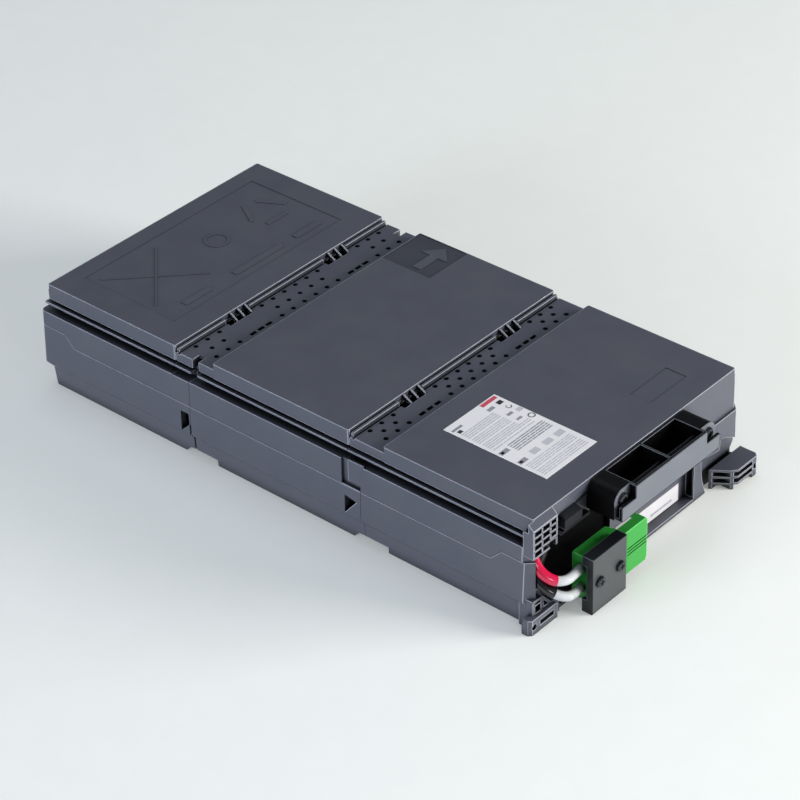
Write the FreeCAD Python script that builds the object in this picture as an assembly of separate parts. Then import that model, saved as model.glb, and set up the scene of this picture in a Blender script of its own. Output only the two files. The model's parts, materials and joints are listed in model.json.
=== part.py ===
import FreeCAD, Part
import math
import os

from FreeCAD import Vector

# A slide-in battery cartridge for a rack UPS: six sealed lead-acid blocks lie flat, two across and
# three along, in three hooked-together tray and cover modules. The front end carries a pull handle,
# two locating ears and a two-pole battery connector on short leads.
# Millimetres. X is the width, +Y runs from the handle to the back, +Z is up. The origin is on the
# ground in the middle of the cartridge's body.

# ---- driving dimensions --------------------------------------------------------------------------
BLOCK_LENGTH = 149.4          # along Y
BLOCK_HEIGHT = 94.0           # along X, because the block lies on its side
BLOCK_THICK = 65.0            # along Z
BLOCK_GAP = 0.3               # between blocks in a row
CHANNEL_WIDTH = 22.6          # wiring channel between the two rows of blocks
BLOCK_SIDE_ROOM = 0.7         # from the blocks to the necks of the covers
BACK_ROOM = 0.4               # behind the last blocks
TOP_FOAM = 10.0               # between the blocks and the raised covers

WALL = 2.5                    # moulded wall
SKIN_OUT = 0.4                # half of the width step at a draft line
SIDE_STAND = 5.0              # top edge of the side walls beyond the raised covers
DRAFT_STAND = 1.5             # tier line beyond that edge
FOOT_INSET = 4.5              # foot behind the tier line

FRONT_COVER_LENGTH = 130.5
FRONT_BAND_LENGTH = 31.5
MIDDLE_COVER_LENGTH = 129.4
REAR_BAND_LENGTH = 37.5
REAR_SILL = 5.6               # how far the side walls run past the rear cover

BAND_DEPTH = 4.7              # perforated bands below the raised covers
COVER_WALL_DROP = 12.3        # raised cover's side, down to the groove
RIB_DROP = 15.4               # middle of the rib in the groove
SIDE_DROP = 22.0              # top edge of the side walls
GROOVE_DEPTH = 4.5            # into the raised cover's side
RIB_THICK = 1.5
RIB_STAND = 2.3               # rib beyond the raised cover's side
TIER_Z = 20.8                 # tier line on the side walls
TIER_DROP = 4.5               # height of the slope below the tier line
SEAM_Z = 44.8                 # tray meets cover
SEAM_END_Z = 53.7             # the seam steps up near both ends
SEAM_END_LENGTH = 25.0
SEAM_SLOPE = 9.0
SEAM_LINE = 0.5               # shadow line outside the seam
FLOOR_Z = 6.0                 # underside of the tray's floor
ARCH_HEIGHT = 5.2             # relief under each joint between trays
JOINT_GAP = 0.3               # between neighbouring modules
CORNER_RADIUS = 4.0           # back corners
CORNER_CUT = 5.0              # front corners
POST_LENGTH = 4.5             # closes the groove at the front

HOLE_RADIUS = 1.95
SLOT_LENGTH = 6.0
SLOT_WIDTH = 3.0
HOLE_PITCH = 12.15
FIRST_ROW_MARGIN = 7.4        # from the cover in front of the row
LAST_ROW_MARGIN = 9.4
LATCH_X = 52.8                # hook groups, each side of the middle
LATCH_WIDTH = 22.0
LATCH_LENGTH = 8.5
FIN_COUNT = 3
FIN_THICK = 1.2
BAR_WIDTH = 2.0               # upright lip behind each band
BAR_DROP = 1.8
BAR_SETBACK = 3.4
BAR_GROOVE = 1.5
RAIL_SLOT = 6.0               # upright slot through the rails beside the rear joint
JOINT_SLIT = 1.1              # open joint below the rear hook pocket

PAD_THICK = 2.0               # under the blocks
FIT = 0.3                     # clearance of a seated piece

HANDLE_WIDTH = 113.2          # over the screw lobes
HANDLE_GRIP_WIDTH = 80.0
HANDLE_FLANGE_WIDTH = 110.0
HANDLE_DEPTH = 29.0
HANDLE_HEIGHT = 21.5
HANDLE_FLANGE_HEIGHT = 11.5
HANDLE_FLANGE_THICK = 2.5
HANDLE_TOP_DROP = 1.0
HANDLE_WALL = 2.0
HANDLE_RIB = 1.6
HANDLE_SHELF_DROP = 6.5       # ledge inside the grip wall
HANDLE_SHELF_DEPTH = 10.5
LOBE_RADIUS = 9.0             # rounded top of the screw lobes
LOBE_SETBACK = 5.5            # lobes' front behind the grip's front

FRONT_STAND = 2.0             # tray's front beyond the cover's front
RECESS_LEFT_MARGIN = 28.0     # from the left side wall
RECESS_RIGHT_MARGIN = 53.7    # from the right side wall
RECESS_DEPTH = 8.0
RECESS_POCKET = 6.3           # pocket in the recess's right end
LEDGE_THICK = 2.5
WINDOW_RIGHT = -22.0          # right end of the open front behind the connector
WINDOW_LOW = 8.0

CORE_WIDTH = 25.2             # ribbed corner core
CORE_LAST = 8.0               # its last column
CORE_STAND = 4.4              # core beyond the cover's front
CORE_POCKET = 8.0             # the core's cells open into the space of the leads
CORE_TOP_DROP = 5.2
CORE_HEIGHT = 23.4
CORE_STEP = 6.8               # the last column is this much shorter
LATTICE_RIB = 1.3
LATTICE_DEPTH = 6.0

EAR_HEIGHT = 16.5             # right ear
EAR_OUT = 4.0                 # right ear's tip beyond the side wall
EAR_WIDTH = 38.0
EAR_DEPTH = 15.0
EAR_SHELF = 1.6
EAR_JOIN_HEIGHT = 11.0        # the ear's root, below its top shelf
EAR_RECESS_DEPTH = 6.0        # corner recess behind the ear
EAR_HOLE_RADIUS = 2.6
EAR_HOLE_Z = 8.6
EAR_HOLE_IN = 3.8             # from the tip
LEFT_EAR_HEIGHT = 12.5
LEFT_EAR_OUT = 7.0
LEFT_EAR_WIDTH = 29.0
LEFT_EAR_DEPTH = 5.0
LEFT_EAR_HOLE_RADIUS = 2.4
LEFT_EAR_HOLE_Z = 6.3
LEFT_BLOCK_TOP = 23.7
LEFT_BLOCK_STAND = 1.6

LABEL_THICK = 0.3
TOP_LABEL = (54.5, 90.0)
TOP_LABEL_CENTRE_X = -44.8
TOP_LABEL_FROM_BAND = 19.0
FRONT_LABEL = (56.0, 14.5)
FRONT_LABEL_IN = 7.5          # from the recess's right end
RELIEF = 0.4                  # depth of the plain marks moulded in the covers
PANEL_MARGIN = 22.5           # rear cover's edge to its shallow panel

SCREW_RADIUS = 2.0
SCREW_HEAD_RADIUS = 4.0
SCREW_HEAD_HEIGHT = 2.4

CONNECTOR_LENGTH = 62.5       # along X
CONNECTOR_HEIGHT = 36.0       # along Z
CONNECTOR_THICK = 15.8        # along Y
CONNECTOR_RIGHT = -14.5
CONNECTOR_LIFT = 6.7
CAP_WIDTH = 37.5              # cap screwed to the connector's front
CAP_HEIGHT = 46.5
CAP_DEPTH = 9.0
CAP_FACE = 4.5
CAP_NOTCH = 3.5               # the rim stops here behind the face, where the leads pass
CAP_RIM = 2.2
CAP_LEFT = -80.5
CAP_STAND = 24.6              # the cap's face in front of the covers
CONNECTOR_STEP = 6.0          # the mating end is this much thinner
CONNECTOR_STEP_LENGTH = 25.0
BLADE_IN = 5.0                # blades behind the housing's front

LEAD_DIAMETER = 7.0
WIRE_DIAMETER = 3.6
TAB_WIDTH = 6.3
TAB_THICK = 0.8
TAB_LENGTH = 7.5
TAB_FROM_END = 12.0
TAB_Z = 44.0                  # above the block's lower side
BARREL_TOP = 56.0             # top of the crimp barrels, above the block's lower side
WIRE_X = 7.0                  # wires stand this far from the middle of the channel
FUSE_LENGTH = 34.0
FUSE_X = -62.0

JUMPER_KNEE = 6.0
JUMPER_TOP = 11.0
JUMPER_BEND = 5.0
FUSE_BACK = 14.0              # fuse holder behind the front terminals
FEED_BEND = 12.0
WELL_BACK = 4.6               # the leads come down the front corner, behind the covers' front
WELL_Z = 66.5
POSITIVE_WELL_IN = 15.7       # from the left side wall
NEGATIVE_WELL_IN = 22.9
FOAM_INSET = 6.0
FOAM_MARGIN = 14.0
FOAM_FRONT_MARGIN = 52.0      # clear of the wires over the front blocks

CONTACT_PITCH = 16.0
CAP_SCREW_SPACING = 22.0
SCREW_BITE = 6.0
HANDLE_SCREW_X = 48.0
HANDLE_SCREW_DROP = 7.5       # below the handle's top

# ---- values that follow --------------------------------------------------------------------------
TOP_WIDTH = CHANNEL_WIDTH + 2 * (BLOCK_HEIGHT + BLOCK_SIDE_ROOM + WALL + GROOVE_DEPTH)
SIDE_WIDTH = TOP_WIDTH + 2 * SIDE_STAND
DRAFT_WIDTH = SIDE_WIDTH + 2 * DRAFT_STAND
FOOT_WIDTH = DRAFT_WIDTH - 2 * FOOT_INSET
HEIGHT = FLOOR_Z + 2 * WALL + PAD_THICK + BLOCK_THICK + TOP_FOAM
BODY_LENGTH = RECESS_DEPTH - FRONT_STAND + 2 * WALL + 2 * FIT + 3 * BLOCK_LENGTH + 2 * BLOCK_GAP + BACK_ROOM
REAR_COVER_LENGTH = BODY_LENGTH - FRONT_COVER_LENGTH - FRONT_BAND_LENGTH \
    - MIDDLE_COVER_LENGTH - REAR_BAND_LENGTH
FRONT_Y = -BODY_LENGTH / 2
FRONT_BAND_Y = FRONT_Y + FRONT_COVER_LENGTH
MIDDLE_Y = FRONT_BAND_Y + FRONT_BAND_LENGTH
REAR_BAND_Y = MIDDLE_Y + MIDDLE_COVER_LENGTH
REAR_Y = REAR_BAND_Y + REAR_BAND_LENGTH
BACK_Y = REAR_Y + REAR_COVER_LENGTH
TRAY_FRONT_Y = FRONT_Y - FRONT_STAND
RECESS_Y = TRAY_FRONT_Y + RECESS_DEPTH
SILL_BACK_Y = BACK_Y + REAR_SILL
JOINT_FRONT_Y = FRONT_BAND_Y + 0.55 * FRONT_BAND_LENGTH
JOINT_REAR_Y = REAR_BAND_Y + 0.55 * REAR_BAND_LENGTH
BAND_Z = HEIGHT - BAND_DEPTH
GROOVE_TOP_Z = HEIGHT - COVER_WALL_DROP
RIB_Z = HEIGHT - RIB_DROP
SIDE_Z = HEIGHT - SIDE_DROP
BLOCK_Z = FLOOR_Z + WALL + PAD_THICK
BLOCK_Y = RECESS_Y + WALL + 2 * FIT
LID_Z = HEIGHT - WALL
LEFT_X = -SIDE_WIDTH / 2
RECESS_LEFT = LEFT_X + RECESS_LEFT_MARGIN
RECESS_RIGHT = SIDE_WIDTH / 2 - RECESS_RIGHT_MARGIN
CORE_RIGHT = LEFT_X + CORE_WIDTH
EAR_REACH = SIDE_WIDTH / 2 + EAR_OUT
LEFT_EAR_REACH = SIDE_WIDTH / 2 + LEFT_EAR_OUT
WELL_Y = FRONT_Y + WELL_BACK
POSITIVE_WELL_X = LEFT_X + POSITIVE_WELL_IN
NEGATIVE_WELL_X = LEFT_X + NEGATIVE_WELL_IN
CAP_FRONT = CAP_STAND - FRONT_Y
COVER_SPANS = [(FRONT_Y, FRONT_BAND_Y), (MIDDLE_Y, REAR_BAND_Y), (REAR_Y, BACK_Y)]
FAR = 400.0


def box(x0, x1, y0, y1, z0, z1):
    return Part.makeBox(x1 - x0, y1 - y0, z1 - z0, Vector(x0, y0, z0))


def mirrored(shape):
    return shape.mirror(Vector(0, 0, 0), Vector(1, 0, 0))


def both(shape):
    return [shape, mirrored(shape)]


def outline(half, y0, y1, z, front, radius=CORNER_RADIUS):
    """A closed rectangle at height z: chamfered front corners, rounded back corners."""
    k = radius * (1 - math.sqrt(0.5))
    front_points = [Vector(-half, y0 + front, z), Vector(-half + front, y0, z),
                    Vector(half - front, y0, z), Vector(half, y0 + front, z)]
    right = [Vector(half, y1 - radius, z), Vector(half - k, y1 - k, z), Vector(half - radius, y1, z)]
    left = [Vector(-half + radius, y1, z), Vector(-half + k, y1 - k, z), Vector(-half, y1 - radius, z)]
    edges = [Part.makeLine(front_points[i], front_points[i + 1]) for i in range(3)]
    edges.append(Part.makeLine(front_points[3], right[0]))
    edges.append(Part.Arc(*right).toShape())
    edges.append(Part.makeLine(right[2], left[0]))
    edges.append(Part.Arc(*left).toShape())
    edges.append(Part.makeLine(left[2], front_points[0]))
    return Part.Wire(edges)


def draft_block(low, high):
    """A block between two outlines, each (half width, y0, y1, z, front chamfer)."""
    return Part.makeLoft([outline(*low), outline(*high)], True, True)


def prism_x(points, x0, x1):
    """A (y, z) outline pulled along X."""
    wire = Part.makePolygon([Vector(x0, y, z) for y, z in points + points[:1]])
    return Part.Face(wire).extrude(Vector(x1 - x0, 0, 0))


def prism_z(points, z0, z1):
    """An (x, y) outline pulled along Z."""
    wire = Part.makePolygon([Vector(x, y, z0) for x, y in points + points[:1]])
    return Part.Face(wire).extrude(Vector(0, 0, z1 - z0))


def prism_y(points, y0, y1):
    """An (x, z) outline pulled along Y."""
    wire = Part.makePolygon([Vector(x, y0, z) for x, z in points + points[:1]])
    return Part.Face(wire).extrude(Vector(0, y1 - y0, 0))


def rod(start, direction, length, radius):
    return Part.makeCylinder(radius, length, start, direction)


def single(shape):
    """The one solid of a cut or fused shape, with its needless seams gone."""
    shape = shape.removeSplitter()
    return shape.Solids[0] if len(shape.Solids) == 1 else shape


# ---- the body's walls, at full length ------------------------------------------------------------
def below_seam():
    """Everything under the line where the covers meet the trays."""
    front_high = TRAY_FRONT_Y + SEAM_END_LENGTH
    back_high = SILL_BACK_Y - SEAM_END_LENGTH
    return prism_x([(-FAR, -1), (-FAR, SEAM_END_Z), (front_high, SEAM_END_Z),
                    (front_high + SEAM_SLOPE, SEAM_Z), (back_high - SEAM_SLOPE, SEAM_Z),
                    (back_high, SEAM_END_Z), (FAR, SEAM_END_Z), (FAR, -1)], -FAR, FAR)


def side_block():
    """Foot, tier slope and side walls as one full block."""
    slope_z = TIER_Z - TIER_DROP
    foot_low = (FOOT_WIDTH / 2, TRAY_FRONT_Y, SILL_BACK_Y - 4.0, 0, CORNER_CUT - 2.0)
    foot_high = (FOOT_WIDTH / 2 + 1, TRAY_FRONT_Y, SILL_BACK_Y - 3.0, slope_z, CORNER_CUT - 1.0)
    tier = (DRAFT_WIDTH / 2, TRAY_FRONT_Y, SILL_BACK_Y + 1, TIER_Z, CORNER_CUT + 1.0)
    top = (SIDE_WIDTH / 2, TRAY_FRONT_Y, SILL_BACK_Y, SIDE_Z, CORNER_CUT)
    return draft_block(foot_low, foot_high).fuse([draft_block(foot_high, tier), draft_block(tier, top)])


def side_hollow():
    """The hollow inside the side block, from the floor up."""
    slope_z = TIER_Z - TIER_DROP
    front = RECESS_Y + WALL
    back = SILL_BACK_Y - WALL
    half = FOOT_WIDTH / 2 - WALL
    floor = (half, front, back - 4.0, FLOOR_Z + WALL, 1.0)
    bend = (half + 1, front, back - 3.0, slope_z + WALL, 1.0)
    top = (SIDE_WIDTH / 2 - WALL, front, back, SIDE_Z - WALL, 1.0)
    return draft_block(floor, bend).fuse(draft_block(bend, top))


def top_block():
    """Raised covers, band floors, groove and rib, all above the side walls' top edge."""
    half = TOP_WIDTH / 2
    neck = half - GROOVE_DEPTH
    rib = half + RIB_STAND
    post = FRONT_Y + POST_LENGTH
    parts = [box(-neck, neck, FRONT_Y, BACK_Y, SIDE_Z, GROOVE_TOP_Z),
             box(-half, half, FRONT_Y, post, SIDE_Z, GROOVE_TOP_Z),
             box(-rib, rib, post, BACK_Y + RIB_STAND, RIB_Z - RIB_THICK / 2, RIB_Z + RIB_THICK / 2),
             box(-half, half, FRONT_Y, BACK_Y, GROOVE_TOP_Z, BAND_Z)]
    for y0, y1 in COVER_SPANS:
        low = (half + SKIN_OUT, y0 - SKIN_OUT, y1 + SKIN_OUT, GROOVE_TOP_Z, 1.0, 1.5)
        high = (half, y0, y1, HEIGHT, 1.0, 1.5)
        parts.append(draft_block(low, high))
    return parts[0].fuse(parts[1:])


def top_hollow():
    """The hollow under the covers, above the blocks."""
    half = TOP_WIDTH / 2
    neck = half - GROOVE_DEPTH - WALL
    front = FRONT_Y + WALL
    parts = [box(-neck, neck, front, BACK_Y - WALL, SEAM_Z, BAND_Z - WALL)]
    for y0, y1 in COVER_SPANS:
        parts.append(box(-half + WALL, half - WALL, y0 + WALL, y1 - WALL, GROOVE_TOP_Z + WALL, LID_Z))
    return parts[0].fuse(parts[1:])


# ---- moulded features ----------------------------------------------------------------------------
def band_holes(y0, y1):
    """Three staggered rows of drain holes in the band between y0 and y1."""
    first = y1 - FIRST_ROW_MARGIN
    last = y0 + LAST_ROW_MARGIN
    middle = (first + last) / 2
    holes = []
    centre = [HOLE_PITCH * (i + 0.5) for i in range(3)]
    outer = [HOLE_PITCH * (i + 6.17) for i in range(3)]
    for y in (first, last):
        for x in centre + outer:
            holes += [(x, y), (-x, y)]
    holes.append((0, middle))
    for step in (1, 2, 6.67, 7.67):
        holes += [(step * HOLE_PITCH, middle), (-step * HOLE_PITCH, middle)]
    down = Vector(0, 0, -1)
    return [rod(Vector(x, y, BAND_Z + 1), down, 2 * WALL, HOLE_RADIUS) for x, y in holes]


def band_cuts(y0, y1):
    """Holes, slot rows, hook windows and the groove before the upright lip."""
    cuts = band_holes(y0, y1)
    slot_pitch = LATCH_WIDTH * 0.37
    for centre in (-LATCH_X, LATCH_X):
        for index in range(FIN_COUNT):
            x = centre + (index - 1) * slot_pitch
            y = y0 + LAST_ROW_MARGIN
            cuts.append(box(x - SLOT_LENGTH / 2, x + SLOT_LENGTH / 2, y - SLOT_WIDTH / 2, y + SLOT_WIDTH / 2,
                            BAND_Z - 2 * WALL, BAND_Z + 1))
        cuts.append(box(centre - LATCH_WIDTH / 2, centre + LATCH_WIDTH / 2 + 2 * FIN_THICK,
                        y1 - LATCH_LENGTH, y1 - BAR_SETBACK + BAR_WIDTH + 1,
                        BAND_Z - 2 * WALL, BAND_Z + 1))
    front_of_bar = y1 - BAR_SETBACK
    half = TOP_WIDTH / 2 + 1
    cuts.append(box(-half, half, front_of_bar - BAR_GROOVE, front_of_bar,
                    BAND_Z - BAR_GROOVE, BAND_Z + 1))
    cuts.append(box(-half, half, front_of_bar + BAR_WIDTH, y1 - SKIN_OUT,
                    BAND_Z - BAR_GROOVE, BAND_Z + 1))
    return cuts


def band_lip(y1):
    """The upright lip that the next cover's hooks reach over, broken at the hooks."""
    y = y1 - BAR_SETBACK
    half = TOP_WIDTH / 2 - 1
    lip = box(-half, half, y, y + BAR_WIDTH, BAND_Z - WALL / 2, HEIGHT - BAR_DROP)
    gaps = [box(c - LATCH_WIDTH / 2, c + LATCH_WIDTH / 2 + 2 * FIN_THICK, y - 1, y + 4, 0, HEIGHT)
            for c in (-LATCH_X, LATCH_X)]
    return lip.cut(gaps[0].fuse(gaps[1]))


def hook_fins(y1):
    """Sloping hooks that reach forward from the cover behind the band."""
    fins = []
    pitch = LATCH_WIDTH * 0.345
    tip_y = y1 - LATCH_LENGTH + 0.6
    profile = [(y1 + 1, HEIGHT - 0.6), (y1 - 1.0, HEIGHT - 0.6), (tip_y, BAND_Z + 0.2),
               (tip_y, BAND_Z - 1.6), (y1 + 1, HEIGHT - 4.2)]
    for centre in (-LATCH_X, LATCH_X):
        for index in range(FIN_COUNT):
            x = centre - LATCH_WIDTH / 2 + pitch * (index + 1) - FIN_THICK / 2
            fins.append(prism_x(profile, x, x + FIN_THICK))
    return fins


def rail_slot():
    """The upright slot through both rails beside the rear joint."""
    half = TOP_WIDTH / 2
    y = REAR_BAND_Y + 0.46 * REAR_BAND_LENGTH
    slot = box(half - GROOVE_DEPTH - WALL - 0.5, FAR, y - RAIL_SLOT / 2, y + RAIL_SLOT / 2,
               SIDE_Z + 1.5, HEIGHT)
    return both(slot)


def lattice(x0, x1, z0, z1, y_face, columns, rows, depth=LATTICE_DEPTH):
    """Pockets of a ribbed face that looks along -Y."""
    width = (x1 - x0 - LATTICE_RIB) / columns
    height = (z1 - z0 - LATTICE_RIB) / rows
    pockets = []
    for column in range(columns):
        for row in range(rows):
            x = x0 + LATTICE_RIB + column * width
            z = z0 + LATTICE_RIB + row * height
            pockets.append(box(x, x + width - LATTICE_RIB, y_face - 1, y_face + depth,
                               z, z + height - LATTICE_RIB))
    return pockets


def corner_core():
    """The ribbed block at the cover's front left corner, stepped at its last column."""
    left = -SIDE_WIDTH / 2
    face = FRONT_Y - CORE_STAND
    top = HEIGHT - CORE_TOP_DROP
    low = top - CORE_HEIGHT
    last = CORE_RIGHT - CORE_LAST
    block = prism_x([(FRONT_Y + POST_LENGTH, low), (face, low), (face, top),
                     (FRONT_Y, HEIGHT - 0.8), (FRONT_Y + POST_LENGTH, HEIGHT - 0.8)], left, CORE_RIGHT)
    block = block.cut(box(last, FAR, -FAR, FRONT_Y, 0, low + CORE_STEP))
    corner = prism_z([(left - 1, FRONT_Y + POST_LENGTH + 1), (left - 1, -FAR), (left + 2.5, -FAR),
                      (left, FRONT_Y + POST_LENGTH + 1)], top, HEIGHT + 1)
    above = box(left - 1, left + SIDE_STAND, FRONT_Y, FAR, HEIGHT - COVER_WALL_DROP + 4, HEIGHT + 1)
    return block.cut(corner.fuse(above))


def corner_core_cuts():
    left = -SIDE_WIDTH / 2
    face = FRONT_Y - CORE_STAND
    top = HEIGHT - CORE_TOP_DROP
    low = top - CORE_HEIGHT
    last = CORE_RIGHT - CORE_LAST
    cuts = lattice(left, last + LATTICE_RIB, low, top, face, 2, 4, CORE_POCKET)
    cuts += lattice(last, CORE_RIGHT, low + CORE_STEP, top, face, 1, 3, CORE_POCKET)
    return cuts


# ---- trays ---------------------------------------------------------------------------------------
def joint_arch(y):
    """Relief in the foot under a joint, with one sloping end."""
    return prism_x([(y - 21, -1), (y - 21, ARCH_HEIGHT), (y + 6, ARCH_HEIGHT), (y + 11, 0), (y + 11, -1)],
                   -FAR, FAR)


def joint_marks(y, rear):
    """Hook windows through both side walls beside a joint."""
    inner = FOOT_WIDTH / 2 - 2 * WALL
    if rear:
        notch = [(y + 2, 38), (y + 10, 38), (y + 10, 21), (y + 1.5, 29)]
    else:
        notch = [(y + 4, 34.5), (y + 15, 36.5), (y + 15, 21.5)]
    return both(prism_x(notch, inner, FAR))


def joint_slit():
    """The rear joint stands open below its hook window."""
    y = JOINT_REAR_Y + JOINT_GAP
    return box(-FAR, FAR, y - 1, y + JOINT_SLIT, ARCH_HEIGHT - 1, 29)


def tab_pocket():
    """Pocket for the front cover's hook tab in the middle module's side walls."""
    y = JOINT_FRONT_Y
    return both(box(SIDE_WIDTH / 2 - 1.9, FAR, y, y + 17.5, SEAM_Z + 0.6, SIDE_Z + 4))


def tab_plate():
    """The hook tab itself, reaching back from the front cover."""
    y = JOINT_FRONT_Y
    return both(box(SIDE_WIDTH / 2 - 1.6, SIDE_WIDTH / 2, y - 3, y + 11.5, SEAM_Z + 4.5, SIDE_Z + 1.6))


def tray_shell():
    """All three trays in one, before they are parted."""
    shell = side_block().common(below_seam()).cut(side_hollow())
    under_half = FOOT_WIDTH / 2 - WALL
    ribs = [JOINT_FRONT_Y, JOINT_REAR_Y]
    stops = [TRAY_FRONT_Y + RECESS_DEPTH + WALL] + ribs + [SILL_BACK_Y - 4 - WALL]
    for start, end in zip(stops, stops[1:]):
        third = (end - start) / 3
        for index in range(3):
            y0 = start + index * third + WALL / 2
            shell = shell.cut(box(-under_half, -WALL / 2, y0, y0 + third - WALL, -1, FLOOR_Z))
            shell = shell.cut(box(WALL / 2, under_half, y0, y0 + third - WALL, -1, FLOOR_Z))
    for y in ribs:
        shell = shell.cut(joint_arch(y))
    return shell


def block_guides(y0, y1):
    """Ribs along the tray floor that keep the blocks off the side walls."""
    inner = CHANNEL_WIDTH / 2 + BLOCK_HEIGHT + FIT
    outer = FOOT_WIDTH / 2 - WALL + 0.5
    guides = []
    for share in (0.2, 0.8):
        y = y0 + share * (y1 - y0)
        guides += both(box(inner, outer, y - 1.5, y + 1.5, FLOOR_Z + WALL - 0.5, SEAM_Z - 4))
    return guides


def front_recess():
    """The space in the tray's front where the connector is stowed, open to the block behind it."""
    space = box(RECESS_LEFT, RECESS_RIGHT, TRAY_FRONT_Y - 1, RECESS_Y, LEDGE_THICK, SEAM_END_Z + 1)
    window = box(RECESS_LEFT, WINDOW_RIGHT, RECESS_Y - 1, RECESS_Y + WALL + 1, WINDOW_LOW, SEAM_END_Z + 1)
    pocket = box(RECESS_RIGHT - 1, RECESS_RIGHT + RECESS_POCKET, TRAY_FRONT_Y + 1.3, RECESS_Y - 1.2,
                 LEDGE_THICK + 1.5, SEAM_END_Z - 3)
    return space.fuse([window, pocket])


def cable_opening():
    """The open front left corner, under the ribbed core, where the leads come out."""
    left = -SIDE_WIDTH / 2 + CORNER_CUT
    top = HEIGHT - CORE_TOP_DROP - CORE_HEIGHT
    return box(left, RECESS_LEFT + 1, TRAY_FRONT_Y - 5, RECESS_Y + WALL + 1, LEFT_BLOCK_TOP, top)


def ear_recess():
    """Deep corner behind the right ear: its upper edge falls, then steps up in an arch."""
    right = SIDE_WIDTH / 2
    points = [(right - 39, -1), (right - 43.5, 13), (right - 45, 23), (right - 45.5, 32),
              (right - 23.5, 28.3), (right - 22.7, 35.6), (right - 20.5, 36.6), (right - 17, 35.6),
              (right - 3, 28.5), (FAR, 28.5), (FAR, -1)]
    return prism_y(points, TRAY_FRONT_Y - 1, TRAY_FRONT_Y + EAR_RECESS_DEPTH)


def right_ear():
    """Ear with a slanting inner side, three shelves open to the front and a bored tip."""
    front = TRAY_FRONT_Y - EAR_DEPTH
    rear = TRAY_FRONT_Y + 1.2
    inner = EAR_REACH - EAR_WIDTH
    ear = prism_z([(inner, rear), (inner + 8.8, front + 3.5), (inner + 13.5, front), (EAR_REACH - 2.5, front),
                   (EAR_REACH, front + 2.5), (EAR_REACH, rear)], 0, EAR_HEIGHT)
    pocket_plan = [(inner - 3, rear - 2), (inner - 3, front - 2), (EAR_REACH - 7.5, front - 2),
                   (EAR_REACH - 7.5, front + 7), (inner + 14, front + 7), (inner + 6.5, rear - 2)]
    pitch = (EAR_HEIGHT - EAR_SHELF + 1.6) / 3
    rib = box(inner + 9, inner + 10.8, -FAR, FAR, 0, HEIGHT)
    for index in range(3):
        high = EAR_HEIGHT - EAR_SHELF - index * pitch
        pocket = prism_z(pocket_plan, high - pitch + EAR_SHELF, high)
        ear = ear.cut(pocket.cut(rib))
    hole = rod(Vector(EAR_REACH - EAR_HOLE_IN, front - 1, EAR_HOLE_Z), Vector(0, 1, 0), 6, EAR_HOLE_RADIUS)
    root = box(SIDE_WIDTH / 2 - 18, SIDE_WIDTH / 2, rear - 1, TRAY_FRONT_Y + EAR_RECESS_DEPTH + 1,
               0, EAR_JOIN_HEIGHT)
    return ear.cut(hole), root


def left_ear():
    """Low ear at the left corner with a ribbed block above it."""
    face = TRAY_FRONT_Y - LEFT_EAR_DEPTH
    tip = -LEFT_EAR_REACH
    inner = tip + LEFT_EAR_WIDTH
    ear = prism_z([(tip, TRAY_FRONT_Y + 2.5), (tip, face + 2.5), (tip + 2.5, face), (inner, face),
                   (inner, TRAY_FRONT_Y + 2.5)], 0, LEFT_EAR_HEIGHT)
    slot = box(tip + 10.5, inner - 3.8, face - 1, face + LATTICE_DEPTH, 4.5, 8.6)
    hole = rod(Vector(tip + 4.5, face - 1, LEFT_EAR_HOLE_Z), Vector(0, 1, 0), 6, LEFT_EAR_HOLE_RADIUS)
    front = TRAY_FRONT_Y - LEFT_BLOCK_STAND
    back = RECESS_Y + WALL
    block = prism_y([(LEFT_X, 0), (LEFT_X, LEFT_BLOCK_TOP), (LEFT_X + 10.2, LEFT_BLOCK_TOP),
                     (LEFT_X + 20.1, 12.6), (RECESS_LEFT, 12.6), (RECESS_LEFT, 0)], front, back)
    wall = box(LEFT_X, RECESS_LEFT, RECESS_Y - WALL, back, 0, LEFT_BLOCK_TOP)
    cells = [[(2.2, 12.8), (8.2, 12.8), (8.2, 18.9), (2.2, 18.9)], [(2.2, 20), (8.2, 20), (8.2, 22), (2.2, 22)],
             [(11.4, 13.8), (16.7, 13.5), (11.4, 19.3)]]
    for cell in cells:
        block = block.cut(prism_y([(LEFT_X + x, z) for x, z in cell], front - 1, front + LATTICE_DEPTH))
    return ear.cut(slot.fuse(hole)), block.fuse(wall)


def make_trays():
    shell = tray_shell()
    shell = shell.cut(front_recess().fuse([cable_opening(), ear_recess()]))
    corner_floor = box(-SIDE_WIDTH / 2 + 3, RECESS_LEFT, TRAY_FRONT_Y, RECESS_Y + WALL, 0, LEFT_BLOCK_TOP)
    ear, ear_root = right_ear()
    low_ear, low_block = left_ear()
    spans = [(-FAR, JOINT_FRONT_Y), (JOINT_FRONT_Y + JOINT_GAP, JOINT_REAR_Y), (JOINT_REAR_Y + JOINT_GAP, FAR)]
    inner = [(BLOCK_Y, JOINT_FRONT_Y), (JOINT_FRONT_Y, JOINT_REAR_Y), (JOINT_REAR_Y, SILL_BACK_Y - WALL)]
    trays = []
    for (y0, y1), (a, b) in zip(spans, inner):
        tray = shell.common(box(-FAR, FAR, y0, y1, -1, HEIGHT))
        trays.append(tray.fuse(block_guides(a, b)))
    trays[0] = trays[0].cut(corner_floor).fuse([ear, ear_root, low_ear, low_block])
    trays[2] = trays[2].cut(joint_slit())
    for index, rear in ((1, False), (2, True)):
        y = JOINT_REAR_Y if rear else JOINT_FRONT_Y
        for cut in joint_marks(y, rear):
            trays[index] = trays[index].cut(cut)
    return [single(tray) for tray in trays]


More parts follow.
